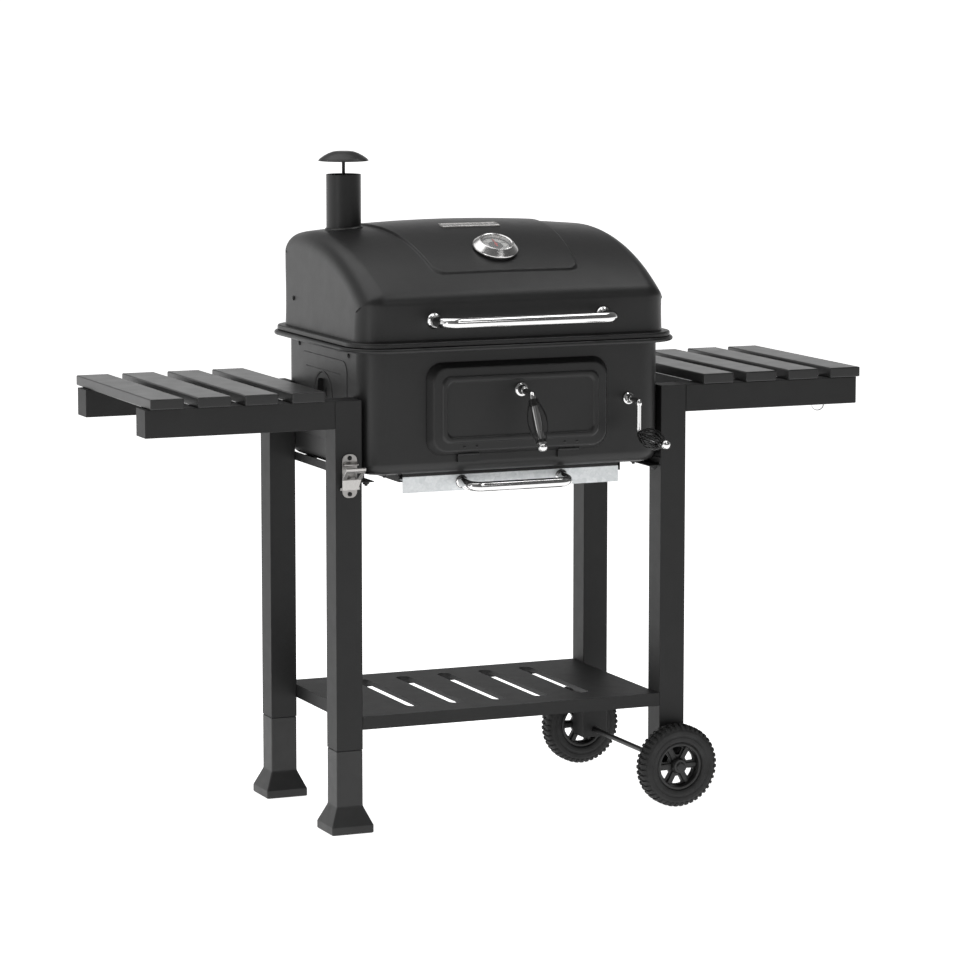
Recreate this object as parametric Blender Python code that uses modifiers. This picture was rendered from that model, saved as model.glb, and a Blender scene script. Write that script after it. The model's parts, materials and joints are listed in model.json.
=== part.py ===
"""Charcoal trolley grill with chimney: firebox on four square legs, two slatted side tables,
domed lid, drop-down stoking door, crank-lifted charcoal tray, ash drawer and two wheels.

Metres, +Z up. The front faces -Y. The origin is on the ground, below the middle of the
object's bounding box. Run with: blender --background --python part.py
"""
import math

import bmesh
import bpy
from mathutils import Matrix, Vector

# ---------------------------------------------------------------- driving dimensions (metres)
GAP = 0.0003                      # clearance between pieces that touch

LEG_WIDTH = 0.050                 # square tube
TUBE_WALL = 0.002
LEG_HALF_X = 0.344                # outer faces of the legs
LEG_HALF_Y = 0.195
LEG_TOP = 0.781
BOOT_SEAM = 0.150                 # where a tube meets its boot
BOOT_BASE = 0.080
WHEEL_LEG_FOOT = 0.063            # right legs stop just below the axle

SHELF_TOP = 0.210
SHELF_APRON = 0.024
SHEET = 0.0015                    # pressed steel
SLOT_COUNT = 5
SLOT_PITCH = 0.0838
SLOT_WIDTH = 0.026
SLOT_FRONT = -0.135
SLOT_REAR = 0.149

WHEEL_RADIUS = 0.077
WHEEL_WIDTH = 0.037
WHEEL_GAP = 0.003                 # from the leg's face to the wheel
AXLE_RADIUS = 0.005

RAIL_END = 0.697                  # outer end of the table rails
RAIL_HEIGHT = 0.050
SLAT_WIDTH = 0.0617
SLAT_PITCH = 0.0874
SLAT_THICKNESS = 0.0188
SLAT_COUNT = 4
SLAT_FRONT = -0.2024
SLAT_REAR = 0.2280
LEFT_TABLE_EDGE = -0.6892         # outer edge of the outermost slat, left and right
RIGHT_TABLE_EDGE = 0.7006

BODY_Y = -0.0015                  # middle of the firebox, front to back
BOX_HALF_X = 0.2926
BOX_HALF_Y = 0.2090
BOX_CORNER = 0.0487
BOX_BOTTOM = 0.6435
ASH_HOLE_HALF_X = 0.2400
ASH_HOLE_HALF_Y = 0.1600
ASH_PLATE_HALF_X = 0.2560
ASH_PLATE_HALF_Y = 0.1740
BOX_WALL = 0.0020
RIM_BOTTOM = 0.8650
RIM_TOP = 0.8735
RIM_OVERHANG = 0.0310
LEDGE_TOP = 0.8360                # carries the cooking grates

LID_HALF_X = 0.3000
LID_HALF_Y = 0.2190
LID_BOTTOM = 0.8750
LID_FLANGE_TOP = 0.8830
LID_FLANGE = 0.0150
LID_SHEET = 0.0016
LID_APEX = 1.0570                 # top of the end section; the crown comes on top
LID_APEX_Y = 0.0950
LID_DOME_RADIUS = 0.5650
LID_CROWN = 0.0150
LID_TAPER = 0.0375                # sideways draft per metre of height
HINGE_Y = 0.2500
HINGE_Z = 0.8750

CHIMNEY_X = -0.2130
CHIMNEY_Y = 0.1000
CHIMNEY_RADIUS = 0.0320
CHIMNEY_TOP = 1.1630
CHIMNEY_BOTTOM = 1.0350
CAP_RADIUS = 0.0465
CAP_RIM = 1.1885
CAP_TOP = 1.2055
CAP_STEM_RADIUS = 0.0030

DIAL_Y = -0.1070
DIAL_RADIUS = 0.0420

HANDLE_RADIUS = 0.0090
LID_HANDLE_HALF = 0.1650
LID_HANDLE_Z = 0.9190
LID_HANDLE_REACH = 0.0580

DOOR_HALF_X = 0.1765
DOOR_BOTTOM = 0.6760
DOOR_TOP = 0.8430
DOOR_DEPTH = 0.0170
DOOR_DRAFT = 0.0085
DOOR_CORNER = 0.0300
DOOR_SHEET = 0.0015
DOOR_HINGE_Z = 0.6775
DOOR_HINGE_OUT = 0.0055           # hinge axis in front of the firebox's face
DOOR_HINGE_X = 0.0980
DOOR_HINGE_WIDTH = 0.0400
LATCH_Z = 0.7910

CRANK_X = 0.2193
CRANK_Z = 0.7634
PINION_RADIUS = 0.0100
RACK_TRAVEL = 0.0600

DRAWER_HALF_X = 0.2120
DRAWER_TOP = 0.6370
DRAWER_BOTTOM = 0.6080
DRAWER_FLOOR = 0.6275
DRAWER_FRONT_Y = -0.1850
DRAWER_REAR_Y = 0.1700

PIVOT_LID = (0.1370, 0.9350)      # warming rack pivots, as (y, z)
PIVOT_BOX = (0.1220, 0.8530)

VENT_Z = 0.7650
VENT_RADIUS = 0.0450

# middle of the bounding box, measured from the middle of the legs
CENTRE_X = 0.0018
CENTRE_Y = -0.0615

# ---------------------------------------------------------------- colours
BLACK_COAT = (0.020, 0.020, 0.021)
BLACK_PLASTIC = (0.026, 0.026, 0.027)
RUBBER = (0.016, 0.016, 0.016)
CHROME = (0.80, 0.80, 0.81)
STEEL = (0.56, 0.55, 0.53)
ZINC = (0.70, 0.72, 0.73)
NICKEL = (0.45, 0.43, 0.41)
ENAMEL = (0.028, 0.028, 0.030)
RED = (0.70, 0.03, 0.03)

# name: (colour, metallic, roughness)
FINISHES = {
    "coat": (BLACK_COAT, 0.0, 0.50),
    "plastic": (BLACK_PLASTIC, 0.0, 0.60),
    "rubber": (RUBBER, 0.0, 0.80),
    "chrome": (CHROME, 1.0, 0.08),
    "steel": (STEEL, 1.0, 0.35),
    "zinc": (ZINC, 0.8, 0.45),
    "nickel": (NICKEL, 1.0, 0.30),
    "enamel": (ENAMEL, 0.0, 0.35),
    "red": (RED, 0.0, 0.40),
}

PARTS = None                      # collections and root, made in main()
CUTTERS = None
ROOT = None


# ---------------------------------------------------------------- scene helpers
def clear_scene():
    for item in list(bpy.data.objects):
        bpy.data.objects.remove(item, do_unlink=True)
    for group in list(bpy.data.collections):
        bpy.data.collections.remove(group)


def make_collection(name):
    group = bpy.data.collections.new(name)
    bpy.context.scene.collection.children.link(group)
    return group


def make_material(name, finish):
    colour, metallic, roughness = FINISHES[finish]
    material = bpy.data.materials.new(name)
    material.use_nodes = True
    shader = material.node_tree.nodes["Principled BSDF"]
    shader.inputs["Base Color"].default_value = (*colour, 1.0)
    shader.inputs["Metallic"].default_value = metallic
    shader.inputs["Roughness"].default_value = roughness
    material.diffuse_color = (*colour, 1.0)
    return material


def add_part(name, mesh, finish, pivot=(0.0, 0.0, 0.0), smooth_angle=35.0):
    """Link a mesh, drawn in the legs' frame, as a part whose origin is at pivot."""
    mesh.name = name
    mesh.transform(Matrix.Translation(-Vector(pivot)))
    mesh.shade_smooth()
    mesh.set_sharp_from_angle(angle=math.radians(smooth_angle))
    item = bpy.data.objects.new(name, mesh)
    item.location = pivot
    item.parent = ROOT
    mesh.materials.append(make_material(name + "_finish", finish))
    PARTS.objects.link(item)
    return item


def add_cutter(name, mesh):
    item = bpy.data.objects.new(name, mesh)
    item.parent = ROOT
    item.hide_render = True
    item.display_type = "WIRE"
    CUTTERS.objects.link(item)
    return item


def boolean(item, mesh, operation):
    """Add an exact boolean of a mesh drawn in the legs' frame."""
    tool = add_cutter(item.name + "_tool_%d" % len(item.modifiers), mesh)
    modifier = item.modifiers.new("boolean_%d" % len(item.modifiers), "BOOLEAN")
    modifier.operation = operation
    modifier.object = tool
    modifier.solver = "EXACT"
    return modifier


def cut(item, mesh):
    boolean(item, mesh, "DIFFERENCE")


def fuse(item, mesh):
    boolean(item, mesh, "UNION")


# ---------------------------------------------------------------- shape helpers
def mesh_from(build):
    """A new mesh filled by build(bmesh)."""
    shape = bmesh.new()
    build(shape)
    mesh = bpy.data.meshes.new("shape")
    shape.to_mesh(mesh)
    shape.free()
    return mesh


def box_mesh(low, high):
    low = Vector(low)
    high = Vector(high)
    size = high - low

    def build(shape):
        bmesh.ops.create_cube(shape, size=1.0)
        bmesh.ops.scale(shape, vec=size, verts=shape.verts)
        bmesh.ops.translate(shape, vec=(low + high) / 2, verts=shape.verts)

    return mesh_from(build)


def joined(*meshes):
    """One mesh holding several separate closed shapes, for use as a cutter."""
    def build(shape):
        for mesh in meshes:
            shape.from_mesh(mesh)

    return mesh_from(build)


def aim(direction):
    """Rotation that turns +Z to a direction."""
    return Vector(direction).to_track_quat("Z", "Y").to_matrix().to_4x4()


def cylinder_mesh(start, end, radius, segments=20, end_radius=None):
    start = Vector(start)
    end = Vector(end)
    top = radius if end_radius is None else end_radius

    def build(shape):
        bmesh.ops.create_cone(shape, cap_ends=True, segments=segments, radius1=radius,
                              radius2=top, depth=(end - start).length)
        place = Matrix.Translation((start + end) / 2) @ aim(end - start)
        bmesh.ops.transform(shape, matrix=place, verts=shape.verts)

    return mesh_from(build)


def evaluated_mesh(item):
    graph = bpy.context.evaluated_depsgraph_get()
    mesh = bpy.data.meshes.new_from_object(item.evaluated_get(graph))
    shape = bmesh.new()
    shape.from_mesh(mesh)
    bmesh.ops.remove_doubles(shape, verts=shape.verts, dist=0.00001)
    shape.to_mesh(mesh)
    shape.free()
    return mesh


def turned_mesh(profile, steps=24, base=(0.0, 0.0, 0.0), direction=(0.0, 0.0, 1.0)):
    """Turn a profile of (radius, height), given down its outer side, about an axis."""
    draft = bpy.data.meshes.new("profile")
    points = [(radius, 0.0, height) for radius, height in profile]
    draft.from_pydata(points, [(i, i + 1) for i in range(len(points) - 1)], [])
    item = bpy.data.objects.new("profile", draft)
    bpy.context.scene.collection.objects.link(item)
    screw = item.modifiers.new("turn", "SCREW")
    screw.axis = "Z"
    screw.steps = steps
    screw.render_steps = steps
    screw.use_merge_vertices = True
    screw.merge_threshold = 0.00001
    mesh = evaluated_mesh(item)
    bpy.data.objects.remove(item, do_unlink=True)
    mesh.transform(Matrix.Translation(base) @ aim(direction))
    return mesh


def rounded_path(points, radius, steps=4):
    """Replace each inner corner of a path by an arc of the given radius."""
    path = [Vector(points[0])]
    for before, corner, after in zip(points, points[1:], points[2:]):
        before, corner, after = Vector(before), Vector(corner), Vector(after)
        into = (corner - before).normalized()
        out = (after - corner).normalized()
        turn = into.angle(out)
        reach = radius * math.tan(turn / 2)
        side = (out - into * into.dot(out)).normalized()
        centre = corner - into * reach + side * radius
        for step in range(steps + 1):
            angle = turn * step / steps
            path.append(centre - side * radius * math.cos(angle) + into * radius * math.sin(angle))
    path.append(Vector(points[-1]))
    return path


def rod_mesh(path, radius, sides=2):
    """A round rod along a path, with closed ends. sides is the bevel resolution."""
    curve = bpy.data.curves.new("rod", "CURVE")
    curve.dimensions = "3D"
    curve.bevel_depth = radius
    curve.bevel_resolution = sides
    curve.use_fill_caps = True
    spline = curve.splines.new("POLY")
    spline.points.add(len(path) - 1)
    for point, place in zip(spline.points, path):
        point.co = (*place, 1.0)
    item = bpy.data.objects.new("rod", curve)
    bpy.context.scene.collection.objects.link(item)
    mesh = evaluated_mesh(item)
    bpy.data.objects.remove(item, do_unlink=True)
    bpy.data.curves.remove(curve)
    return mesh


def outline_points(half_x, half_y, radius, steps=5):
    """A rounded rectangle's outline, counter-clockwise."""
    points = []
    for index, (sign_x, sign_y) in enumerate(((1, 1), (-1, 1), (-1, -1), (1, -1))):
        for step in range(steps + 1):
            angle = math.radians(90 * index + 90 * step / steps)
            x = sign_x * (half_x - radius) + radius * math.cos(angle)
            y = sign_y * (half_y - radius) + radius * math.sin(angle)
            points.append((x, y))
    return points


def ring_mesh(rings, steps=5, place=None):
    """Loft between rounded rectangles (half_x, half_y, radius, z), both ends filled.

    The rings run up the outside and may come back down the inside.
    """
    def build(shape):
        loops = []
        for half_x, half_y, radius, z in rings:
            outline = outline_points(half_x, half_y, radius, steps)
            loops.append([shape.verts.new((x, y, z)) for x, y in outline])
        for lower, upper in zip(loops, loops[1:]):
            for index in range(len(lower)):
                after = (index + 1) % len(lower)
                shape.faces.new((lower[index], lower[after], upper[after], upper[index]))
        shape.faces.new(reversed(loops[0]))
        shape.faces.new(loops[-1])
        if place is not None:
            bmesh.ops.transform(shape, matrix=place, verts=shape.verts)

    return mesh_from(build)


def prism_mesh(half_x, half_y, radius, low, high, place=None, steps=5):
    return ring_mesh([(half_x, half_y, radius, low), (half_x, half_y, radius, high)], steps, place)


def flat_mesh(points, thickness, place):
    """A flat outline given as 2D points, with a thickness, moved by a matrix."""
    curve = bpy.data.curves.new("outline", "CURVE")
    curve.dimensions = "2D"
    curve.fill_mode = "BOTH"
    curve.extrude = thickness / 2
    spline = curve.splines.new("POLY")
    spline.points.add(len(points) - 1)
    for point, (x, y) in zip(spline.points, points):
        point.co = (x, y, 0.0, 1.0)
    spline.use_cyclic_u = True
    item = bpy.data.objects.new("outline", curve)
    bpy.context.scene.collection.objects.link(item)
    mesh = evaluated_mesh(item)
    bpy.data.objects.remove(item, do_unlink=True)
    bpy.data.curves.remove(curve)
    mesh.transform(place)
    return mesh


# local XY plane stands upright and faces the front: x stays x, y becomes z, z becomes -y
FACE_FRONT = Matrix.Rotation(math.radians(90), 4, "X")
# local XY plane faces the right: x becomes y, y becomes z, z becomes x
FACE_RIGHT = Matrix(((0, 0, 1, 0), (1, 0, 0, 0), (0, 1, 0, 0), (0, 0, 0, 1)))


# ---------------------------------------------------------------- trolley
def make_legs():
    inner = LEG_WIDTH - 2 * TUBE_WALL
    for side, sign_x in (("left", -1), ("right", 1)):
        for end, sign_y in (("front", -1), ("rear", 1)):
            foot = BOOT_SEAM + GAP if side == "left" else WHEEL_LEG_FOOT
            x = sign_x * (LEG_HALF_X - LEG_WIDTH / 2)
            y = sign_y * (LEG_HALF_Y - LEG_WIDTH / 2)
            half = LEG_WIDTH / 2
            leg = add_part("leg_%s_%s" % (end, side),
                           box_mesh((x - half, y - half, foot), (x + half, y + half, LEG_TOP)),
                           "coat")
            cut(leg, box_mesh((x - inner / 2, y - inner / 2, foot - 0.01),
                              (x + inner / 2, y + inner / 2, LEG_TOP - TUBE_WALL)))
            if side == "right":
                cut(leg, cylinder_mesh((x, y - LEG_WIDTH, WHEEL_RADIUS),
                                       (x, y + LEG_WIDTH, WHEEL_RADIUS), AXLE_RADIUS + GAP, 16))


def make_boots():
    """Plastic feet of the left legs: flared base, square sleeve and a plug inside the tube."""
    skirt = 0.015
    taper = 0.047
    plug = LEG_WIDTH / 2 - TUBE_WALL - GAP
    half = LEG_WIDTH / 2
    corner = math.sqrt(2)
    x = -(LEG_HALF_X - half)
    for end, sign_y in (("front", -1), ("rear", 1)):
        y = sign_y * (LEG_HALF_Y - half)
        profile = [(0.0, BOOT_SEAM + 0.035), (plug * corner, BOOT_SEAM + 0.035),
                   (plug * corner, BOOT_SEAM), (half * corner, BOOT_SEAM),
                   (half * corner, taper), (BOOT_BASE / 2 * corner, skirt),
                   (BOOT_BASE / 2 * corner, 0.0), (0.0, 0.0)]
        boot = turned_mesh(profile, steps=4)
        boot.transform(Matrix.Translation((x, y, 0.0)) @ Matrix.Rotation(math.radians(45), 4, "Z"))
        add_part("foot_%s_left" % end, boot, "plastic")


def shelf_slots(width, low, high):
    length = SLOT_REAR - SLOT_FRONT
    middle = (SLOT_REAR + SLOT_FRONT) / 2
    grown = (width - SLOT_WIDTH) / 2
    slots = []
    for index in range(SLOT_COUNT):
        x = (index - (SLOT_COUNT - 1) / 2) * SLOT_PITCH
        slots.append(prism_mesh(width / 2, length / 2 + grown, width / 2 - 0.0001, low, high,
                                Matrix.Translation((x, middle, 0.0)), steps=3))
    return slots


def make_shelf():
    """Bottom shelf: a folded sheet tray, open below, with five lipped slots."""
    half_x = LEG_HALF_X - LEG_WIDTH - GAP
    low = SHELF_TOP - SHELF_APRON
    under = SHELF_TOP - SHEET
    shelf = add_part("bottom_shelf",
                     box_mesh((-half_x, -LEG_HALF_Y, low), (half_x, LEG_HALF_Y, SHELF_TOP)), "coat")
    cut(shelf, box_mesh((-half_x + SHEET, -LEG_HALF_Y + SHEET, low - 0.01),
                        (half_x - SHEET, LEG_HALF_Y - SHEET, under)))
    fuse(shelf, joined(*shelf_slots(SLOT_WIDTH + 2 * SHEET, SHELF_TOP - 0.008, SHELF_TOP - 0.0005)))
    cut(shelf, joined(*shelf_slots(SLOT_WIDTH, low - 0.01, SHELF_TOP + 0.01)))


def make_wheels():
    axle_x = LEG_HALF_X - LEG_WIDTH / 2
    inner = LEG_HALF_Y + WHEEL_GAP
    outer = inner + WHEEL_WIDTH
    z = WHEEL_RADIUS
    add_part("wheel_axle", cylinder_mesh((axle_x, -outer + 0.004, z), (axle_x, outer - 0.004, z),
                                         AXLE_RADIUS, 20), "steel")
    half = WHEEL_WIDTH / 2
    bore = AXLE_RADIUS + 0.0001
    rim_profile = [(bore, half), (0.0130, half), (0.0160, 0.009), (0.0370, 0.007), (0.0375, 0.0150),
                   (0.0440, 0.0145), (0.0440, -0.0145), (0.0375, -0.0150), (0.0370, -0.007),
                   (0.0160, -0.009), (0.0130, -half), (bore, -half), (bore, half)]
    tyre_profile = [(0.0443, 0.0140), (0.0480, half), (0.0660, half), (0.0735, 0.0150),
                    (WHEEL_RADIUS, 0.0095), (WHEEL_RADIUS, -0.0095), (0.0735, -0.0150),
                    (0.0660, -half), (0.0480, -half), (0.0443, -0.0140), (0.0443, 0.0140)]
    for end, sign_y in (("front", -1), ("rear", 1)):
        hub = (axle_x, sign_y * (inner + half), z)
        facing = (0.0, sign_y, 0.0)
        rim = add_part("wheel_rim_%s" % end, turned_mesh(rim_profile, 24, hub, facing),
                       "plastic", hub)
        windows = []
        for index in range(6):
            angle = math.radians(60 * index + 30)
            place = (Matrix.Translation(hub) @ Matrix.Rotation(angle, 4, "Y")
                     @ Matrix.Translation((0.0, 0.0, 0.0275)) @ FACE_FRONT)
            shape = [(-0.0050, -0.0075), (0.0050, -0.0075), (0.0115, 0.0065), (-0.0115, 0.0065)]
            windows.append(flat_mesh(shape, 0.04, place))
        cut(rim, joined(*windows))
        add_part("tyre_%s" % end, turned_mesh(tyre_profile, 32, hub, facing), "rubber", hub)


def make_tables():
    top = LEG_TOP
    for side, sign_x in (("left", -1), ("right", 1)):
        near = sign_x * (LEG_HALF_X + GAP)
        far = sign_x * RAIL_END
        low_x, high_x = min(near, far), max(near, far)
        for end, sign_y in (("front", -1), ("rear", 1)):
            y_far = sign_y * LEG_HALF_Y
            y_near = sign_y * (LEG_HALF_Y - LEG_WIDTH)
            low_y, high_y = min(y_far, y_near), max(y_far, y_near)
            rail = add_part("table_rail_%s_%s" % (end, side),
                            box_mesh((low_x, low_y, top - RAIL_HEIGHT), (high_x, high_y, top)),
                            "coat")
            # hollow from the leg's end, closed at the outer end
            hollow_low = low_x + TUBE_WALL if side == "left" else low_x - 0.01
            hollow_high = high_x + 0.01 if side == "left" else high_x - TUBE_WALL
            cut(rail, box_mesh((hollow_low, low_y + TUBE_WALL, top - RAIL_HEIGHT + TUBE_WALL),
                               (hollow_high, high_y - TUBE_WALL, top - TUBE_WALL)))
        edge = LEFT_TABLE_EDGE if side == "left" else RIGHT_TABLE_EDGE
        for index in range(SLAT_COUNT):
            outer = edge - sign_x * index * SLAT_PITCH
            inner = outer - sign_x * SLAT_WIDTH
            slat = add_part("slat_%s_%d" % (side, index + 1),
                            box_mesh((min(outer, inner), SLAT_FRONT, top + GAP),
                                     (max(outer, inner), SLAT_REAR, top + SLAT_THICKNESS)), "coat")
            edge_round = slat.modifiers.new("edge", "BEVEL")
            edge_round.width = 0.0015
            edge_round.segments = 1


# ---------------------------------------------------------------- firebox
def box_ring(offset, z):
    return (BOX_HALF_X + offset, BOX_HALF_Y + offset, BOX_CORNER + offset, z)


def make_firebox():
    """Pressed bowl with a rolled rim, a ledge for the grates and a rounded bottom."""
    edge = 0.022
    outer = []
    for step in range(4):
        angle = math.radians(90 * step / 3)
        outer.append(box_ring(-edge + edge * math.sin(angle), BOX_BOTTOM + edge - edge * math.cos(angle)))
    rim = [box_ring(0.0, RIM_BOTTOM), box_ring(RIM_OVERHANG - 0.003, RIM_BOTTOM),
           box_ring(RIM_OVERHANG, RIM_BOTTOM + 0.0035), box_ring(RIM_OVERHANG - 0.002, RIM_TOP),
           box_ring(-BOX_WALL, RIM_TOP)]
    ledge = [box_ring(-BOX_WALL, LEDGE_TOP), box_ring(-0.011, LEDGE_TOP),
             box_ring(-0.011, LEDGE_TOP - 0.0015), box_ring(-BOX_WALL, LEDGE_TOP - 0.004)]
    inner = []
    inner_edge = edge - BOX_WALL
    for step in range(3, -1, -1):
        angle = math.radians(90 * step / 3)
        inner.append(box_ring(-edge + inner_edge * math.sin(angle),
                              BOX_BOTTOM + edge - inner_edge * math.cos(angle)))
    place = Matrix.Translation((0.0, BODY_Y, 0.0))
    firebox = add_part("firebox", ring_mesh(outer + rim + ledge + inner, 5, place), "coat")
    front = BODY_Y - BOX_HALF_Y
    # stoking opening behind the door
    middle = (DOOR_BOTTOM + DOOR_TOP) / 2
    opening = Matrix.Translation((0.0, front - 0.01, middle)) @ FACE_FRONT
    cut(firebox, prism_mesh(0.158, 0.067, 0.006, -0.03, 0.01, opening, 2))
    # the floor is open in the middle, and a slotted plate lies over the hole
    hole = Matrix.Translation((0.0, BODY_Y, BOX_BOTTOM))
    cut(firebox, prism_mesh(ASH_HOLE_HALF_X, ASH_HOLE_HALF_Y, 0.012, -0.01, 0.01, hole, 3))
    plate = box_mesh((-ASH_PLATE_HALF_X, BODY_Y - ASH_PLATE_HALF_Y, BOX_BOTTOM + BOX_WALL),
                     (ASH_PLATE_HALF_X, BODY_Y + ASH_PLATE_HALF_Y, BOX_BOTTOM + BOX_WALL + SHEET))
    ash_plate = add_part("ash_plate", plate, "coat")
    slots = []
    for index in range(7):
        x = (index - 3) * 0.052
        slots.append(box_mesh((x - 0.010, -0.130, BOX_BOTTOM - 0.01),
                              (x + 0.010, 0.130, BOX_BOTTOM + 0.01)))
    cut(ash_plate, joined(*slots))
    # air holes behind the side dampers: three sectors each side
    for sign_x in (-1, 1):
        cut(firebox, joined(*vent_holes(sign_x * BOX_HALF_X, 0.0)))
    # crank shaft hole, warming rack pivots
    cut(firebox, cylinder_mesh((CRANK_X, front - 0.01, CRANK_Z), (CRANK_X, front + 0.01, CRANK_Z),
                               0.0042, 16))


def vent_holes(x, turn):
    """Three kidney holes round the damper's middle, as cutters."""
    holes = []
    for index in range(3):
        angle = math.radians(90 + 120 * index) + turn
        y = BODY_Y + 0.026 * math.cos(angle)
        z = VENT_Z + 0.026 * math.sin(angle)
        holes.append(cylinder_mesh((x - 0.01, y, z), (x + 0.01, y, z), 0.0095, 12))
    return holes


def make_dampers():
    """Turning discs outside the firebox's ends, with a finger tab."""
    for side, sign_x in (("left", -1), ("right", 1)):
        face = sign_x * (BOX_HALF_X + GAP)
        outside = sign_x * (BOX_HALF_X + GAP + 0.0008)
        # the legs' inner faces are close by, so the disc is thin and the tab stays low
        hub = (face, BODY_Y, VENT_Z)
        damper = add_part("damper_%s" % side,
                          cylinder_mesh(hub, (outside, BODY_Y, VENT_Z), VENT_RADIUS, 36), "coat", hub)
        tab = sign_x * (BOX_HALF_X + 0.012)
        fuse(damper, box_mesh((min(face, tab), BODY_Y - 0.0010, VENT_Z + 0.006),
                              (max(face, tab), BODY_Y + 0.0010, VENT_Z + 0.036)))
        cut(damper, joined(*vent_holes(face, math.radians(60))))


def make_supports():
    """Bars that carry the firebox between the legs, and the guides of the ash drawer."""
    low = 0.6330
    high = BOX_BOTTOM + 0.0052
    half = LEG_HALF_X - LEG_WIDTH - GAP
    thick = 0.0022
    for side, sign_x in (("left", -1), ("right", 1)):
        outer = sign_x * half
        inner = sign_x * (half - thick)
        bar = add_part("support_bar_%s" % side,
                       box_mesh((min(outer, inner), -LEG_HALF_Y, low),
                                (max(outer, inner), LEG_HALF_Y, high)), "coat")
        shelf_in = sign_x * (half - 0.0230)
        fuse(bar, box_mesh((min(outer, shelf_in), -LEG_HALF_Y, low),
                           (max(outer, shelf_in), LEG_HALF_Y, low + thick)))
        block_in = sign_x * (half - 0.0260)
        block_out = sign_x * (half - 0.0120)
        for sign_y in (-1, 1):
            y = sign_y * 0.120
            fuse(bar, box_mesh((min(block_in, block_out), y - 0.02, low + 0.0010),
                               (max(block_in, block_out), y + 0.02, BOX_BOTTOM - GAP)))
        guide_out = sign_x * (DRAWER_HALF_X + 0.0060)
        guide_in = sign_x * (DRAWER_HALF_X + 0.0045)
        lip_in = sign_x * (DRAWER_HALF_X - 0.0040)
        front = DRAWER_FRONT_Y + 0.004
        guide = add_part("drawer_guide_%s" % side,
                         box_mesh((min(guide_out, guide_in), front, DRAWER_TOP - 0.009),
                                  (max(guide_out, guide_in), DRAWER_REAR_Y, BOX_BOTTOM - GAP)), "coat")
        fuse(guide, box_mesh((min(guide_out, lip_in), front, DRAWER_TOP - 0.009),
                             (max(guide_out, lip_in), DRAWER_REAR_Y, DRAWER_TOP - 0.0075)))


def make_drawer_bar():
    """Strip under the firebox that closes the gap above the drawer's front."""
    add_part("drawer_crossbar",
             box_mesh((-DRAWER_HALF_X, DRAWER_FRONT_Y, DRAWER_TOP + 0.0005),
                      (DRAWER_HALF_X, DRAWER_FRONT_Y + 0.0050, BOX_BOTTOM - GAP)), "coat")


def make_grates():
    """Two cooking grates side by side on the firebox's ledge."""
    low = LEDGE_TOP + GAP
    high = low + 0.0055
    place = Matrix.Translation((0.0, BODY_Y, 0.0))
    for side, sign_x in (("left", -1), ("right", 1)):
        outline = prism_mesh(BOX_HALF_X - 0.004, BOX_HALF_Y - 0.004, BOX_CORNER - 0.004, low, high, place)
        grate = add_part("cooking_grate_%s" % side, outline, "enamel")
        keep_low = 0.0010 if sign_x > 0 else -0.4
        keep_high = 0.4 if sign_x > 0 else -0.0010
        boolean(grate, box_mesh((keep_low, -0.4, low - 0.01), (keep_high, 0.4, high + 0.01)), "INTERSECT")
        slots = []
        for index in range(13):
            x = sign_x * (0.0190 + index * 0.0195)
            reach = 0.190 if index < 11 else 0.165
            for y_low, y_high in ((-reach, -0.006), (0.006, reach)):
                slots.append(box_mesh((x - 0.0065, BODY_Y + y_low, low - 0.01),
                                      (x + 0.0065, BODY_Y + y_high, high + 0.01)))
        cut(grate, joined(*slots))


# ---------------------------------------------------------------- lid
def corner_arc(before, corner, after, radius, steps):
    """Points of an arc that rounds a corner in the (y, z) plane."""
    path = rounded_path([(*before, 0.0), (*corner, 0.0), (*after, 0.0)], radius, steps)
    return [(point.x, point.y) for point in path[1:-1]]


def dome_height(y):
    return LID_APEX - LID_DOME_RADIUS + math.sqrt(LID_DOME_RADIUS ** 2 - (y - LID_APEX_Y) ** 2)


def lid_profile(arc_steps=8, corner_steps=4):
    """The lid's end section as (y, z), from the front wall over the dome to the rear wall."""
    front = BODY_Y - LID_HALF_Y
    rear = BODY_Y + LID_HALF_Y
    front_top = (front, dome_height(front))
    rear_top = (rear, dome_height(rear))
    near_front = (front + 0.020, dome_height(front + 0.020))
    near_rear = (rear - 0.030, dome_height(rear - 0.030))
    points = [(front, LID_FLANGE_TOP), (front, 0.915)]
    points += corner_arc((front, LID_FLANGE_TOP), front_top, near_front, 0.026, corner_steps)
    first = points[-1][0]
    last = rear - 0.027
    for step in range(1, arc_steps):
        y = first + (last - first) * step / arc_steps
        points.append((y, dome_height(y)))
    points += corner_arc(near_rear, rear_top, (rear, LID_FLANGE_TOP), 0.030, corner_steps)
    points += [(rear, 0.950), (rear, LID_FLANGE_TOP)]
    return points


def smooth(value):
    value = min(max(value, 0.0), 1.0)
    return value * value * (3 - 2 * value)


def lid_surface_point(profile, normals, index, x_share, rounding):
    """A point of the lid's outer face.

    x_share runs -1 to 1 over the flat middle; rounding runs 0 to 90 degrees down the end's edge.
    """
    y, z = profile[index]
    edge = 0.050 - 0.016 * smooth((z - 0.900) / 0.140)
    half = LID_HALF_X - LID_TAPER * (z - LID_FLANGE_TOP) - edge
    side = 1 if x_share >= 0 else -1
    x = x_share * half + side * edge * math.sin(math.radians(rounding))
    inset = edge * (1 - math.cos(math.radians(rounding)))
    crown = LID_CROWN * smooth((z - 0.945) / 0.112) * max(0.0, 1 - (x / 0.290) ** 2)
    normal = normals[index]
    return Vector((x, y - normal[0] * inset, z + crown - normal[1] * inset))


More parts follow.
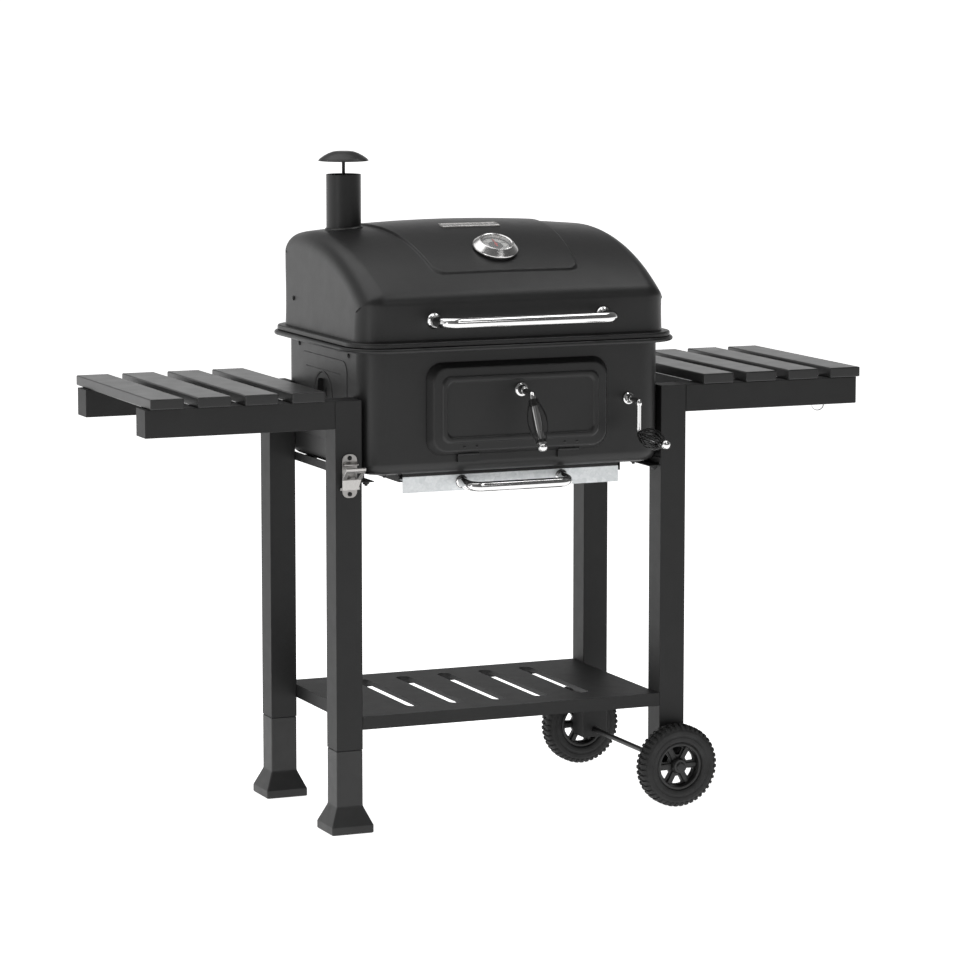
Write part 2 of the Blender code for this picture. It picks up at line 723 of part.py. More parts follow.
def lid_sheet():
    """The lid's outer face as one open sheet: flange, walls, dome and rounded ends."""
    profile = lid_profile()
    count = len(profile)
    normals = []
    for index in range(count):
        before = profile[max(index - 1, 0)]
        after = profile[min(index + 1, count - 1)]
        along = Vector((after[0] - before[0], after[1] - before[1])).normalized()
        normals.append((-along.y, along.x))
    round_steps = 4
    flat_steps = 6
    columns = [(-1.0, 90 - 90 * step / round_steps) for step in range(round_steps)]
    columns += [(-1 + 2 * step / flat_steps, 0.0) for step in range(flat_steps + 1)]
    columns += [(1.0, 90 * step / round_steps) for step in range(1, round_steps + 1)]

    def build(shape):
        grid = []
        for share, rounding in columns:
            grid.append([shape.verts.new(lid_surface_point(profile, normals, index, share, rounding))
                         for index in range(count)])
        for left, right in zip(grid, grid[1:]):
            for index in range(count - 1):
                shape.faces.new((left[index], right[index], right[index + 1], left[index + 1]))
        shape.faces.new(grid[0])
        shape.faces.new(reversed(grid[-1]))
        # flange: front edge left to right, right end, rear edge, left end
        base = [column[0] for column in grid] + [column[-1] for column in reversed(grid)]
        previous = base
        middle = Vector((0.0, BODY_Y, 0.0))
        for grow, z in ((LID_FLANGE - 0.002, LID_FLANGE_TOP), (LID_FLANGE, LID_FLANGE_TOP - 0.002),
                        (LID_FLANGE, LID_BOTTOM)):
            ring = []
            for vertex in base:
                offset = vertex.co - middle
                core_x = LID_HALF_X - 0.050
                core_y = LID_HALF_Y - 0.050
                core = Vector((min(max(offset.x, -core_x), core_x),
                               min(max(offset.y, -core_y), core_y), 0.0))
                outward = Vector((offset.x - core.x, offset.y - core.y, 0.0)).normalized()
                place = Vector((vertex.co.x, vertex.co.y, z)) + outward * grow
                ring.append(shape.verts.new(place))
            for index in range(len(base)):
                after = (index + 1) % len(base)
                shape.faces.new((ring[index], ring[after], previous[after], previous[index]))
            previous = ring
        bmesh.ops.recalc_face_normals(shape, faces=shape.faces)

    return mesh_from(build)


def dome_normal(y):
    """Outward normal of the lid's middle section, in (y, z)."""
    step = 0.004
    rise = lid_height(y + step) - lid_height(y - step)
    return Vector((0.0, -rise, 2 * step)).normalized()


def lid_height(y):
    z = dome_height(y)
    return z + LID_CROWN * smooth((z - 0.945) / 0.112)


def make_lid():
    pivot = (0.0, HINGE_Y, HINGE_Z)
    lid = add_part("lid", lid_sheet(), "coat", pivot)
    shell = lid.modifiers.new("sheet", "SOLIDIFY")
    shell.thickness = LID_SHEET
    shell.offset = -1.0
    cut(lid, cylinder_mesh((CHIMNEY_X, CHIMNEY_Y, CHIMNEY_BOTTOM - 0.03),
                           (CHIMNEY_X, CHIMNEY_Y, CHIMNEY_TOP), CHIMNEY_RADIUS + 0.0004, 32))
    seat = Vector((0.0, DIAL_Y, lid_height(DIAL_Y)))
    normal = dome_normal(DIAL_Y)
    cut(lid, cylinder_mesh(seat - normal * 0.02, seat + normal * 0.02, 0.0053, 16))
    sleeves = []
    for sign_x in (-1, 1):
        x = sign_x * 0.200
        fuse(lid, box_mesh((x - 0.015, 0.2220, 0.8795), (x + 0.015, HINGE_Y, 0.8845)))
        fuse(lid, cylinder_mesh((x - 0.018, HINGE_Y, HINGE_Z), (x + 0.018, HINGE_Y, HINGE_Z),
                                0.0055, 16))
        sleeves.append(cylinder_mesh((x - 0.025, HINGE_Y, HINGE_Z), (x + 0.025, HINGE_Y, HINGE_Z),
                                     0.0032, 16))
    cut(lid, joined(*sleeves))


def make_lid_hinges():
    """Brackets on the rear of the firebox's rim, each with its pin."""
    rim_rear = BODY_Y + BOX_HALF_Y + RIM_OVERHANG
    for side, sign_x in (("left", -1), ("right", 1)):
        x = sign_x * 0.200
        bracket = add_part("lid_hinge_%s" % side,
                           box_mesh((x - 0.0225, rim_rear + GAP, 0.8500),
                                    (x + 0.0225, rim_rear + 0.0025, 0.8720)), "coat")
        for low, high in ((-0.0225, -0.0190), (0.0190, 0.0225)):
            fuse(bracket, box_mesh((x + low, rim_rear + GAP, 0.8620), (x + high, 0.2550, 0.8800)))
        fuse(bracket, cylinder_mesh((x - 0.0255, HINGE_Y, HINGE_Z), (x + 0.0255, HINGE_Y, HINGE_Z),
                                    0.0030, 12))


def make_lid_fittings():
    wall = BODY_Y - LID_HALF_Y - GAP
    out = wall - LID_HANDLE_REACH
    pivot = (0.0, HINGE_Y, HINGE_Z)
    path = rounded_path([(-LID_HANDLE_HALF, wall, LID_HANDLE_Z), (-LID_HANDLE_HALF, out, LID_HANDLE_Z),
                         (LID_HANDLE_HALF, out, LID_HANDLE_Z), (LID_HANDLE_HALF, wall, LID_HANDLE_Z)],
                        0.022, 5)
    add_part("lid_handle", rod_mesh(path, HANDLE_RADIUS, 2), "chrome", pivot)

    tube = [(CHIMNEY_RADIUS, CHIMNEY_TOP), (CHIMNEY_RADIUS, CHIMNEY_BOTTOM),
            (CHIMNEY_RADIUS - SHEET, CHIMNEY_BOTTOM), (CHIMNEY_RADIUS - SHEET, CHIMNEY_TOP),
            (CHIMNEY_RADIUS, CHIMNEY_TOP)]
    middle = (CHIMNEY_X, CHIMNEY_Y, 0.0)
    chimney = add_part("chimney_tube", turned_mesh(tube, 24, middle), "coat", middle)
    # spring clip across the mouth that holds the cap's stem
    fuse(chimney, box_mesh((CHIMNEY_X - CHIMNEY_RADIUS + 0.0010, CHIMNEY_Y - 0.006, CHIMNEY_TOP - 0.010),
                           (CHIMNEY_X + CHIMNEY_RADIUS - 0.0010, CHIMNEY_Y + 0.006, CHIMNEY_TOP - 0.007)))
    cut(chimney, cylinder_mesh((CHIMNEY_X, CHIMNEY_Y, CHIMNEY_TOP - 0.03),
                               (CHIMNEY_X, CHIMNEY_Y, CHIMNEY_TOP + 0.01), CAP_STEM_RADIUS + GAP, 16))

    cap = [(0.0, CAP_TOP), (0.0160, CAP_TOP - 0.0003), (0.0260, CAP_TOP - 0.0030),
           (0.0360, CAP_TOP - 0.0085), (CAP_RADIUS, CAP_RIM), (CAP_RADIUS - 0.0010, CAP_RIM - 0.0010),
           (0.0300, CAP_RIM - 0.0024), (CAP_STEM_RADIUS, CAP_RIM - 0.0030),
           (CAP_STEM_RADIUS, CHIMNEY_TOP - 0.045), (0.0, CHIMNEY_TOP - 0.045)]
    add_part("chimney_cap", turned_mesh(cap, 24, middle), "coat", middle)

    seat = Vector((0.0, DIAL_Y, lid_height(DIAL_Y)))
    normal = dome_normal(DIAL_Y)
    bezel = [(0.0, 0.0120), (0.0270, 0.0120), (0.0272, 0.0185), (0.0300, 0.0200), (0.0330, 0.0190),
             (0.0400, 0.0110), (DIAL_RADIUS, 0.0085), (DIAL_RADIUS, 0.0060), (0.0385, 0.0045),
             (0.0370, 0.0022), (0.0048, 0.0022), (0.0048, -0.0350), (0.0035, -0.0370), (0.0, -0.0370)]
    add_part("thermometer", turned_mesh(bezel, 24, seat, normal), "steel", seat)
    hub = seat + normal * 0.0123
    needle = add_part("thermometer_needle", cylinder_mesh(hub, hub + normal * 0.0022, 0.0028, 12),
                      "red", hub)
    across = Vector((1.0, 0.0, 0.0))
    up = normal.cross(across)
    tip = Matrix((across, up, normal)).transposed().to_4x4()
    tip.translation = hub + normal * 0.0014
    pointer = [(-0.0017, -0.0070), (0.0017, -0.0070), (0.0012, 0.0195), (-0.0012, 0.0195)]
    fuse(needle, flat_mesh(pointer, 0.0010, tip))

    plate_y = 0.013
    plate_normal = dome_normal(plate_y)
    plate_seat = Vector((0.0, plate_y, lid_height(plate_y))) + plate_normal * (0.0030 + GAP)
    turn = Matrix((across, plate_normal.cross(across), plate_normal)).transposed().to_4x4()
    turn.translation = plate_seat
    add_part("name_plate", prism_mesh(0.0570, 0.0130, 0.0030, -0.0020, 0.0012, turn, 2), "steel")


# ---------------------------------------------------------------- stoking door
def door_mesh():
    """Pan-shaped door: base edge, drafted sides, front with a raised rounded-rectangle bead."""
    half_z = (DOOR_TOP - DOOR_BOTTOM) / 2
    sheet = DOOR_SHEET

    def ring(inset, depth):
        return (DOOR_HALF_X - inset, half_z - inset, max(DOOR_CORNER - inset, 0.004), depth)

    bead = 0.0026
    front = DOOR_DEPTH
    foot, crest = 0.0235, 0.0265
    crest_in, foot_in = 0.0315, 0.0345
    outer_face = [ring(foot_in, front), ring(crest_in, front + bead),
                  ring(crest, front + bead), ring(foot, front)]
    outer = [ring(0.0, 0.0), ring(0.0, 0.0015), ring(DOOR_DRAFT - 0.001, front - 0.002),
             ring(DOOR_DRAFT + 0.001, front)] + list(reversed(outer_face))
    inner = [ring(foot_in, front - sheet), ring(crest_in, front + bead - sheet),
             ring(crest, front + bead - sheet), ring(foot, front - sheet),
             ring(DOOR_DRAFT + 0.003, front - sheet), ring(DOOR_DRAFT + 0.0005, front - 0.004),
             ring(sheet + 0.0003, 0.0)]
    middle = (DOOR_BOTTOM + DOOR_TOP) / 2
    place = Matrix.Translation((0.0, BODY_Y - BOX_HALF_Y - GAP, middle)) @ FACE_FRONT
    rings = inner + outer
    return closed_ring_mesh(rings, 4, place)


def closed_ring_mesh(rings, steps, place):
    """Loft whose first and last rings are the inner and outer faces of one sheet."""
    def build(shape):
        loops = []
        for half_x, half_y, radius, z in rings:
            outline = outline_points(half_x, half_y, radius, steps)
            loops.append([shape.verts.new((x, y, z)) for x, y in outline])
        for lower, upper in zip(loops, loops[1:]):
            for index in range(len(lower)):
                after = (index + 1) % len(lower)
                shape.faces.new((lower[index], lower[after], upper[after], upper[index]))
        shape.faces.new(reversed(loops[0]))
        shape.faces.new(loops[-1])
        bmesh.ops.recalc_face_normals(shape, faces=shape.faces)
        bmesh.ops.transform(shape, matrix=place, verts=shape.verts)

    return mesh_from(build)


def make_door():
    face = BODY_Y - BOX_HALF_Y
    axis_y = face - DOOR_HINGE_OUT
    pivot = (0.0, axis_y, DOOR_HINGE_Z)
    door = add_part("stoking_door", door_mesh(), "coat", pivot)
    half = DOOR_HINGE_WIDTH / 2
    notches = []
    for sign_x in (-1, 1):
        x = sign_x * DOOR_HINGE_X
        notches.append(box_mesh((x - half - 0.001, axis_y - 0.0045, DOOR_BOTTOM - 0.01),
                                (x + half + 0.001, face + 0.01, DOOR_HINGE_Z + 0.0050)))
    cut(door, joined(*notches))
    cut(door, cylinder_mesh((0.0, face - 0.03, LATCH_Z), (0.0, face + 0.01, LATCH_Z), 0.0070, 20))
    for side, sign_x in (("left", -1), ("right", 1)):
        x = sign_x * DOOR_HINGE_X
        hinge = add_part("door_hinge_%s" % side,
                         cylinder_mesh((x - half, axis_y, DOOR_HINGE_Z), (x + half, axis_y, DOOR_HINGE_Z),
                                       0.0030, 14), "coat")
        fuse(hinge, box_mesh((x - half, axis_y, DOOR_HINGE_Z - 0.0145),
                             (x + half, face - GAP, DOOR_HINGE_Z - 0.0010)))

    latch = (0.0, face - DOOR_DEPTH, LATCH_Z)
    elbow = (0.0, face - 0.0660, LATCH_Z - 0.004)
    tip = (0.0, face - 0.1130, 0.6970)
    path = rounded_path([(0.0, face - DOOR_DEPTH + 0.0040, LATCH_Z), elbow, tip], 0.011, 4)
    handle = add_part("door_handle", rod_mesh(path, 0.0060, 2), "chrome", latch)
    fuse(handle, ball_mesh(Vector(tip), 0.0085))
    fuse(handle, cylinder_mesh((0.0, face - DOOR_DEPTH - 0.0006, LATCH_Z),
                               (0.0, face - DOOR_DEPTH - 0.0046, LATCH_Z), 0.0130, 24))
    # tongue inside the pan that bears on the frame when the handle hangs down
    fuse(handle, cylinder_mesh((0.0, face - DOOR_DEPTH - 0.0020, LATCH_Z),
                               (0.0, face - 0.0060, LATCH_Z), 0.0055, 16))
    fuse(handle, box_mesh((-0.0060, face - 0.0080, LATCH_Z - 0.0060),
                          (0.0060, face - 0.0060, LATCH_Z + 0.0300)))
    along = (Vector(tip) - Vector(elbow)).normalized()
    base = Vector(elbow) + along * 0.0100
    grip = add_part("door_handle_grip", cage_mesh(0.0190, 0.0066, 0.0800, 0.0020, base, along),
                    "coat", base)
    cut(grip, cage_windows(0.0800, base, along))


def ball_mesh(centre, radius):
    def build(shape):
        bmesh.ops.create_uvsphere(shape, u_segments=12, v_segments=8, radius=radius)
        bmesh.ops.translate(shape, vec=centre, verts=shape.verts)

    return mesh_from(build)


def cage_mesh(widest, bore, length, wall, base, along):
    """A hollow spindle round a rod: bulging in the middle, with a collar at each end."""
    collar = bore + wall
    steps = 6
    bulge = [(collar + (widest - collar) * math.sin(math.pi * step / steps), length * step / steps)
             for step in range(steps + 1)]
    outer = [(collar, length)] + [(radius, height) for radius, height in reversed(bulge[1:-1])]
    outer.append((collar, 0.0))
    inner = [(bore, 0.0), (bore, length * 0.06)]
    inner += [(max(radius - wall, bore), height) for radius, height in bulge[1:-1]]
    inner += [(bore, length * 0.94), (bore, length)]
    return turned_mesh(outer + inner + [(collar, length)], 12, base, along)


def cage_windows(length, base, along):
    """Two crossing slabs that open four long windows in a cage."""
    slabs = []
    for turn in (0.0, 90.0):
        slab = box_mesh((-0.03, -0.0045, length * 0.16), (0.03, 0.0045, length * 0.84))
        slab.transform(Matrix.Translation(base) @ aim(along) @ Matrix.Rotation(math.radians(turn), 4, "Z"))
        slabs.append(slab)
    return joined(*slabs)


# ---------------------------------------------------------------- crank and charcoal tray
def make_crank():
    face = BODY_Y - BOX_HALF_Y
    pivot = (CRANK_X, face, CRANK_Z)
    out = face - 0.0470
    low = CRANK_Z - 0.0600
    tip = Vector((CRANK_X, face - 0.1600, CRANK_Z - 0.0670))
    bend = Vector((CRANK_X, out, low))
    path = rounded_path([(CRANK_X, face + 0.0160, CRANK_Z), (CRANK_X, out, CRANK_Z), bend, tip], 0.008, 4)
    crank = add_part("crank_rod", rod_mesh(path, 0.0040, 2), "chrome", pivot)
    fuse(crank, ball_mesh(tip, 0.0080))
    fuse(crank, cylinder_mesh((CRANK_X, face - 0.0006, CRANK_Z), (CRANK_X, face - 0.0045, CRANK_Z),
                              0.0110, 20))
    fuse(crank, cylinder_mesh((CRANK_X, face + 0.0070, CRANK_Z), (CRANK_X, face + 0.0140, CRANK_Z),
                              PINION_RADIUS, 20))
    along = (tip - bend).normalized()
    base = bend + along * 0.0100
    add_part("crank_grip", cage_mesh(0.0180, 0.0044, 0.0920, 0.0020, base, along), "plastic", base)


def make_charcoal_tray():
    low = 0.6900
    high = 0.7220
    wall = 0.0015
    rings = [(0.2500, 0.1760, 0.0200, low), (0.2620, 0.1870, 0.0240, high),
             (0.2605, 0.1855, 0.0230, high), (0.2487, 0.1747, 0.0190, low + wall)]
    place = Matrix.Translation((0.0, 0.0070, 0.0))
    tray = add_part("charcoal_tray", ring_mesh(rings, 3, place), "enamel")
    slots = []
    for column in range(7):
        x = (column - 3) * 0.066
        for y in (-0.085, 0.007, 0.099):
            slots.append(box_mesh((x - 0.006, y - 0.032, low - 0.01), (x + 0.006, y + 0.032, low + 0.01)))
    cut(tray, joined(*slots))
    face = BODY_Y - BOX_HALF_Y
    rack_x = CRANK_X + PINION_RADIUS + 0.0004
    rack = add_part("lift_rack", box_mesh((rack_x, face + 0.0070, 0.6720),
                                          (rack_x + 0.0080, face + 0.0140, 0.7700)), "steel")
    fuse(rack, box_mesh((rack_x - 0.0400, face + 0.0070, 0.6820),
                        (rack_x + 0.0080, 0.1200, low - GAP)))


def make_warming_rack():
    """Upper rack hung between the lid and two links, level at every lid angle."""
    lid_y, lid_z = PIVOT_LID
    box_y, box_z = PIVOT_BOX
    free_y = box_y + lid_y - HINGE_Y
    free_z = box_z + lid_z - HINGE_Z
    deck = free_z - 0.0080
    half = 0.2620
    rack = add_part("warming_rack", box_mesh((-half, free_y - 0.012, deck - 0.004), (half, 0.1460, deck)),
                    "chrome", (0.0, lid_y, lid_z))
    slots = []
    for index in range(14):
        x = (index - 6.5) * 0.0365
        slots.append(box_mesh((x - 0.0150, free_y - 0.004, deck - 0.01), (x + 0.0150, 0.1380, deck + 0.01)))
    cut(rack, joined(*slots))
    for sign_x in (-1, 1):
        outer = sign_x * half
        inner = sign_x * (half - 0.003)
        low_x, high_x = min(outer, inner), max(outer, inner)
        fuse(rack, box_mesh((low_x, free_y - 0.012, deck - 0.002),
                            (high_x, free_y + 0.010, free_z + 0.008)))
        fuse(rack, box_mesh((low_x, lid_y - 0.007, deck - 0.002),
                            (high_x, lid_y + 0.007, lid_z + 0.007)))
        fuse(rack, cylinder_mesh((sign_x * (half - 0.002), lid_y, lid_z), (sign_x * 0.2950, lid_y, lid_z),
                                 0.0030, 12))
    for side, sign_x in (("left", -1), ("right", 1)):
        length = math.hypot(free_y - box_y, free_z - box_z)
        angle = math.atan2(free_z - box_z, free_y - box_y)
        outline = [(x + length / 2, y) for x, y in outline_points(length / 2 + 0.006, 0.006, 0.0059, 4)]
        place = (Matrix.Translation((sign_x * 0.2720, box_y, box_z)) @ FACE_RIGHT
                 @ Matrix.Rotation(angle, 4, "Z"))
        link = add_part("rack_link_%s" % side, flat_mesh(outline, 0.0030, place), "chrome",
                        (sign_x * 0.2720, box_y, box_z))
        fuse(link, cylinder_mesh((sign_x * 0.2715, box_y, box_z), (sign_x * 0.2900, box_y, box_z),
                                 0.0030, 12))
        fuse(link, cylinder_mesh((sign_x * 0.2715, free_y, free_z), (sign_x * 0.2640, free_y, free_z),
                                 0.0025, 12))


# ---------------------------------------------------------------- ash drawer
def make_ash_drawer():
    front = DRAWER_FRONT_Y
    low = DRAWER_BOTTOM
    wall = SHEET
    body = DRAWER_HALF_X - 0.0060
    panel = box_mesh((-DRAWER_HALF_X, front, low), (DRAWER_HALF_X, front + wall, DRAWER_TOP))
    drawer = add_part("ash_drawer", panel, "zinc")
    # the pan behind the front is shallow, so the guides hide it
    fuse(drawer, box_mesh((-body, front + wall / 2, DRAWER_FLOOR),
                          (body, DRAWER_REAR_Y, DRAWER_TOP - 0.0005)))
    cut(drawer, box_mesh((-body + wall, front + wall, DRAWER_FLOOR + wall),
                         (body - wall, DRAWER_REAR_Y - wall, DRAWER_TOP + 0.01)))
    for sign_x in (-1, 1):
        outer = sign_x * (DRAWER_HALF_X + 0.0030)
        inner = sign_x * (body - wall / 2)
        fuse(drawer, box_mesh((min(outer, inner), front + 0.0060, DRAWER_TOP - 0.0055),
                              (max(outer, inner), DRAWER_REAR_Y, DRAWER_TOP - 0.0040)))
    half = 0.0980
    start = (front - GAP, 0.6240)
    out = (front - 0.0460, 0.6190)
    path = rounded_path([(-half, *start), (-half, *out), (half, *out), (half, *start)], 0.020, 5)
    handle = add_part("drawer_handle", rod_mesh(path, HANDLE_RADIUS - 0.0003, 2), "chrome")
    # flat seats against the drawer's front
    cut(handle, box_mesh((-0.2, front - GAP, 0.58), (0.2, front + 0.05, 0.66)))


# ---------------------------------------------------------------- small fittings
def make_bottle_opener():
    """Bent steel opener screwed to the front of the front left leg."""
    x = -(LEG_HALF_X - 0.0260)
    face = -LEG_HALF_Y - GAP
    stand = Matrix.Translation((x, face, 0.6465)) @ FACE_FRONT
    opener = add_part("bottle_opener", prism_mesh(0.0140, 0.0390, 0.0110, 0.0, 0.0020, stand, 4),
                      "nickel")
    upright = Matrix.Translation((x, face, 0.0)) @ FACE_RIGHT
    hood = [(-0.0010, 0.6215), (-0.0045, 0.6215), (-0.0125, 0.6405), (-0.0340, 0.6590),
            (-0.0350, 0.6630), (-0.0330, 0.6645), (-0.0322, 0.6600), (-0.0112, 0.6425),
            (-0.0030, 0.6240), (-0.0010, 0.6240)]
    fuse(opener, flat_mesh(hood, 0.0370, upright))
    catch = [(-0.0010, 0.6705), (-0.0105, 0.6660), (-0.0115, 0.6680), (-0.0010, 0.6730)]
    fuse(opener, flat_mesh(catch, 0.0270, upright))
    # sides narrow towards the bottom; window with a rounded tooth
    ahead = Matrix.Translation((x, face - 0.0260, 0.0)) @ FACE_FRONT
    corners = []
    for side in (-1, 1):
        wedge = [(0.0150, 0.6150), (0.0150, 0.6215), (0.0186, 0.6450), (0.0300, 0.6450),
                 (0.0300, 0.6150)]
        corners.append(flat_mesh([(side * across, up) for across, up in wedge], 0.0440, ahead))
    cut(opener, joined(*corners))
    window = [(-0.0100, 0.6425)]
    window += [(-0.0045 * math.cos(math.pi * step / 6), 0.6425 + 0.0045 * math.sin(math.pi * step / 6))
               for step in range(7)]
    window += [(0.0100, 0.6425), (0.0128, 0.6545), (-0.0128, 0.6545)]
    cut(opener, flat_mesh(window, 0.0440, ahead))


def make_hook():
    """Wire loop for tools, hung under the front rail of the right table."""
    x = 0.6280
    y = -0.1720
    z = LEG_TOP - RAIL_HEIGHT - 0.0026
    points = [(x - 0.0125, y, LEG_TOP - RAIL_HEIGHT - GAP)]
    for step in range(9):
        angle = math.pi * step / 8
        points.append((x - 0.0125 * math.cos(angle), y, z - 0.0105 * math.sin(angle)))
    points.append((x + 0.0125, y, LEG_TOP - RAIL_HEIGHT - GAP))
    add_part("tool_hook", rod_mesh(points, 0.0013, 1), "chrome", (x, y, z))


def main():
    global PARTS, CUTTERS, ROOT
    clear_scene()
    PARTS = make_collection("charcoal_trolley_grill")
    CUTTERS = make_collection("cutters")
    ROOT = bpy.data.objects.new("grill_root", None)
    PARTS.objects.link(ROOT)
    ROOT.location = (-CENTRE_X, -CENTRE_Y, 0.0)
    make_legs()
    make_boots()
    make_shelf()
    make_wheels()
    make_tables()
    make_firebox()
    make_dampers()
    make_supports()
    make_drawer_bar()
    make_grates()
    make_lid()
    make_lid_hinges()
    make_lid_fittings()
    make_door()
    make_crank()
    make_charcoal_tray()
    make_warming_rack()
    make_ash_drawer()
    make_bottle_opener()
    make_hook()


main()
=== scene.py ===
"""Visual model of the charcoal trolley grill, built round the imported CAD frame.

Shapes are drawn in metres from the middle of the four legs, at ground level, with the front
towards -Y, and are then moved to the place the CAD gives.
"""

import json
import math
import random

import bmesh
import bpy
from mathutils import Matrix, Vector


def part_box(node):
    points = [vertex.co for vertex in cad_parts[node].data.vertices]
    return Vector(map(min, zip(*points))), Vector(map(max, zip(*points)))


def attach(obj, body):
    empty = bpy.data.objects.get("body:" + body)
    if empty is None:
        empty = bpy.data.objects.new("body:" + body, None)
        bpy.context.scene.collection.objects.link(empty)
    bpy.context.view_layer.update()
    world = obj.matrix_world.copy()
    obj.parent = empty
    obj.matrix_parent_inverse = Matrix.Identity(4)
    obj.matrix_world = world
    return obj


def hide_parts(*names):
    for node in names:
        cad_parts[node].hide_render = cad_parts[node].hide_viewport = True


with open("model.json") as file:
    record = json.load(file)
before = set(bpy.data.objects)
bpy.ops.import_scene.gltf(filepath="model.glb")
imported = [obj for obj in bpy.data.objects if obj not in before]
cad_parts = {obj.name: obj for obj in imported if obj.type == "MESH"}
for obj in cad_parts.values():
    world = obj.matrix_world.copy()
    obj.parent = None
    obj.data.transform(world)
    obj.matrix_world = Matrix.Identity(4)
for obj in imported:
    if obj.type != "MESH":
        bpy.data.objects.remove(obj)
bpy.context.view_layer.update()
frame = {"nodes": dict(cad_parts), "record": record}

_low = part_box("leg_front_left")[0]
_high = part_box("leg_rear_right")[1]
ORIGIN = Vector(((_low.x + _high.x) / 2, (_low.y + _high.y) / 2, 0.0))


def local_box(node):
    """A CAD node's corners in the legs' frame."""
    low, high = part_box(node)
    return low - ORIGIN, high - ORIGIN


# ---------------------------------------------------------------- sizes, in the legs' frame
BODY_Y = -0.0015
BOX_HALF_X, BOX_HALF_Y, BOX_CORNER = 0.2926, 0.2090, 0.0487
BOX_BOTTOM, RIM_BOTTOM, RIM_TOP, RIM_OVERHANG = 0.6435, 0.8650, 0.8735, 0.0310
LEDGE_TOP = 0.8360
FACE = BODY_Y - BOX_HALF_Y                      # firebox front
LID_HALF_X, LID_HALF_Y = 0.3000, 0.2190
LID_BOTTOM, LID_FLANGE_TOP = 0.8750, 0.8830
LID_APEX, LID_APEX_Y, LID_DOME_RADIUS = 1.0570, 0.0950, 0.5650
LID_CROWN, LID_TAPER = 0.0150, 0.0375
HINGE_Y, HINGE_Z = 0.2500, 0.8750
CHIMNEY_X, CHIMNEY_Y, CHIMNEY_RADIUS = -0.2130, 0.1000, 0.0320
CHIMNEY_TOP, CHIMNEY_BOTTOM = 1.1630, 1.0350
CAP_RADIUS, CAP_RIM, CAP_TOP = 0.0465, 1.1885, 1.2055
DIAL_Y = -0.1070
LID_HANDLE_HALF, LID_HANDLE_Z, LID_HANDLE_REACH = 0.1650, 0.9190, 0.0580
DOOR_HALF_X, DOOR_BOTTOM, DOOR_TOP, DOOR_DEPTH = 0.1765, 0.6760, 0.8430, 0.0170
DOOR_HINGE_X, DOOR_HINGE_Z, LATCH_Z = 0.0980, 0.6775, 0.7910
CRANK_X, CRANK_Z = 0.2193, 0.7634
DRAWER_FRONT_Y, DRAWER_TOP, DRAWER_BOTTOM = -0.1850, 0.6370, 0.6080
VENT_Z, VENT_RADIUS = 0.7650, 0.0450
WHEEL_RADIUS, WHEEL_HALF, WHEEL_X, WHEEL_Y = 0.0770, 0.0185, 0.3190, 0.2165
PIVOT_LID, PIVOT_BOX = (0.1370, 0.9350), (0.1220, 0.8530)

FACE_FRONT = Matrix.Rotation(math.radians(90), 4, "X")
FACE_RIGHT = Matrix(((0, 0, 1, 0), (1, 0, 0, 0), (0, 1, 0, 0), (0, 0, 0, 1)))


# ---------------------------------------------------------------- materials
class Nodes:
    """Short names for the nodes of one material."""

    def __init__(self, name):
        self.material = bpy.data.materials.new(name)
        self.material.use_nodes = True
        self.tree = self.material.node_tree
        self.shader = self.tree.nodes["Principled BSDF"]
        coordinates = self.tree.nodes.new("ShaderNodeTexCoord")
        self.place = coordinates.outputs["Object"]

    def new(self, kind, **values):
        node = self.tree.nodes.new(kind)
        for key, value in values.items():
            if key in node.inputs:
                node.inputs[key].default_value = value
            else:
                setattr(node, key, value)
        return node

    def link(self, source, target):
        self.tree.links.new(source, target)

    def scaled(self, scale):
        """Object coordinates, stretched."""
        mapping = self.new("ShaderNodeMapping")
        mapping.inputs["Scale"].default_value = scale
        self.link(self.place, mapping.inputs["Vector"])
        return mapping.outputs["Vector"]

    def noise(self, scale, detail=3.0, roughness=0.5, stretch=None):
        node = self.new("ShaderNodeTexNoise")
        node.inputs["Scale"].default_value = scale
        node.inputs["Detail"].default_value = detail
        node.inputs["Roughness"].default_value = roughness
        self.link(self.scaled(stretch) if stretch else self.place, node.inputs["Vector"])
        return node.outputs["Fac"]

    def voronoi(self, scale, feature="F1", output="Distance"):
        node = self.new("ShaderNodeTexVoronoi")
        node.feature = feature
        node.inputs["Scale"].default_value = scale
        self.link(self.place, node.inputs["Vector"])
        return node.outputs[output]

    def ramp(self, value, low, high, start=0.3, end=0.7):
        """Map a value to a grey or colour range."""
        node = self.new("ShaderNodeValToRGB")
        first, last = node.color_ramp.elements
        first.position, last.position = start, end
        first.color = low if len(low) == 4 else (*low, 1.0)
        last.color = high if len(high) == 4 else (*high, 1.0)
        self.link(value, node.inputs["Fac"])
        return node.outputs["Color"]

    def range(self, value, low, high):
        node = self.new("ShaderNodeMapRange")
        node.inputs["To Min"].default_value = low
        node.inputs["To Max"].default_value = high
        self.link(value, node.inputs["Value"])
        return node.outputs["Result"]

    def bump(self, height, strength, distance, below=None):
        node = self.new("ShaderNodeBump")
        node.inputs["Strength"].default_value = strength
        node.inputs["Distance"].default_value = distance
        self.link(height, node.inputs["Height"])
        if below is not None:
            self.link(below, node.inputs["Normal"])
        return node.outputs["Normal"]

    def set(self, **values):
        for key, value in values.items():
            socket = self.shader.inputs[key.replace("_", " ")]
            if hasattr(value, "is_output"):
                self.link(value, socket)
            else:
                socket.default_value = value
        return self.material


def grey(value, warm=0.0):
    return (value * (1 + warm), value, value * (1 - warm))


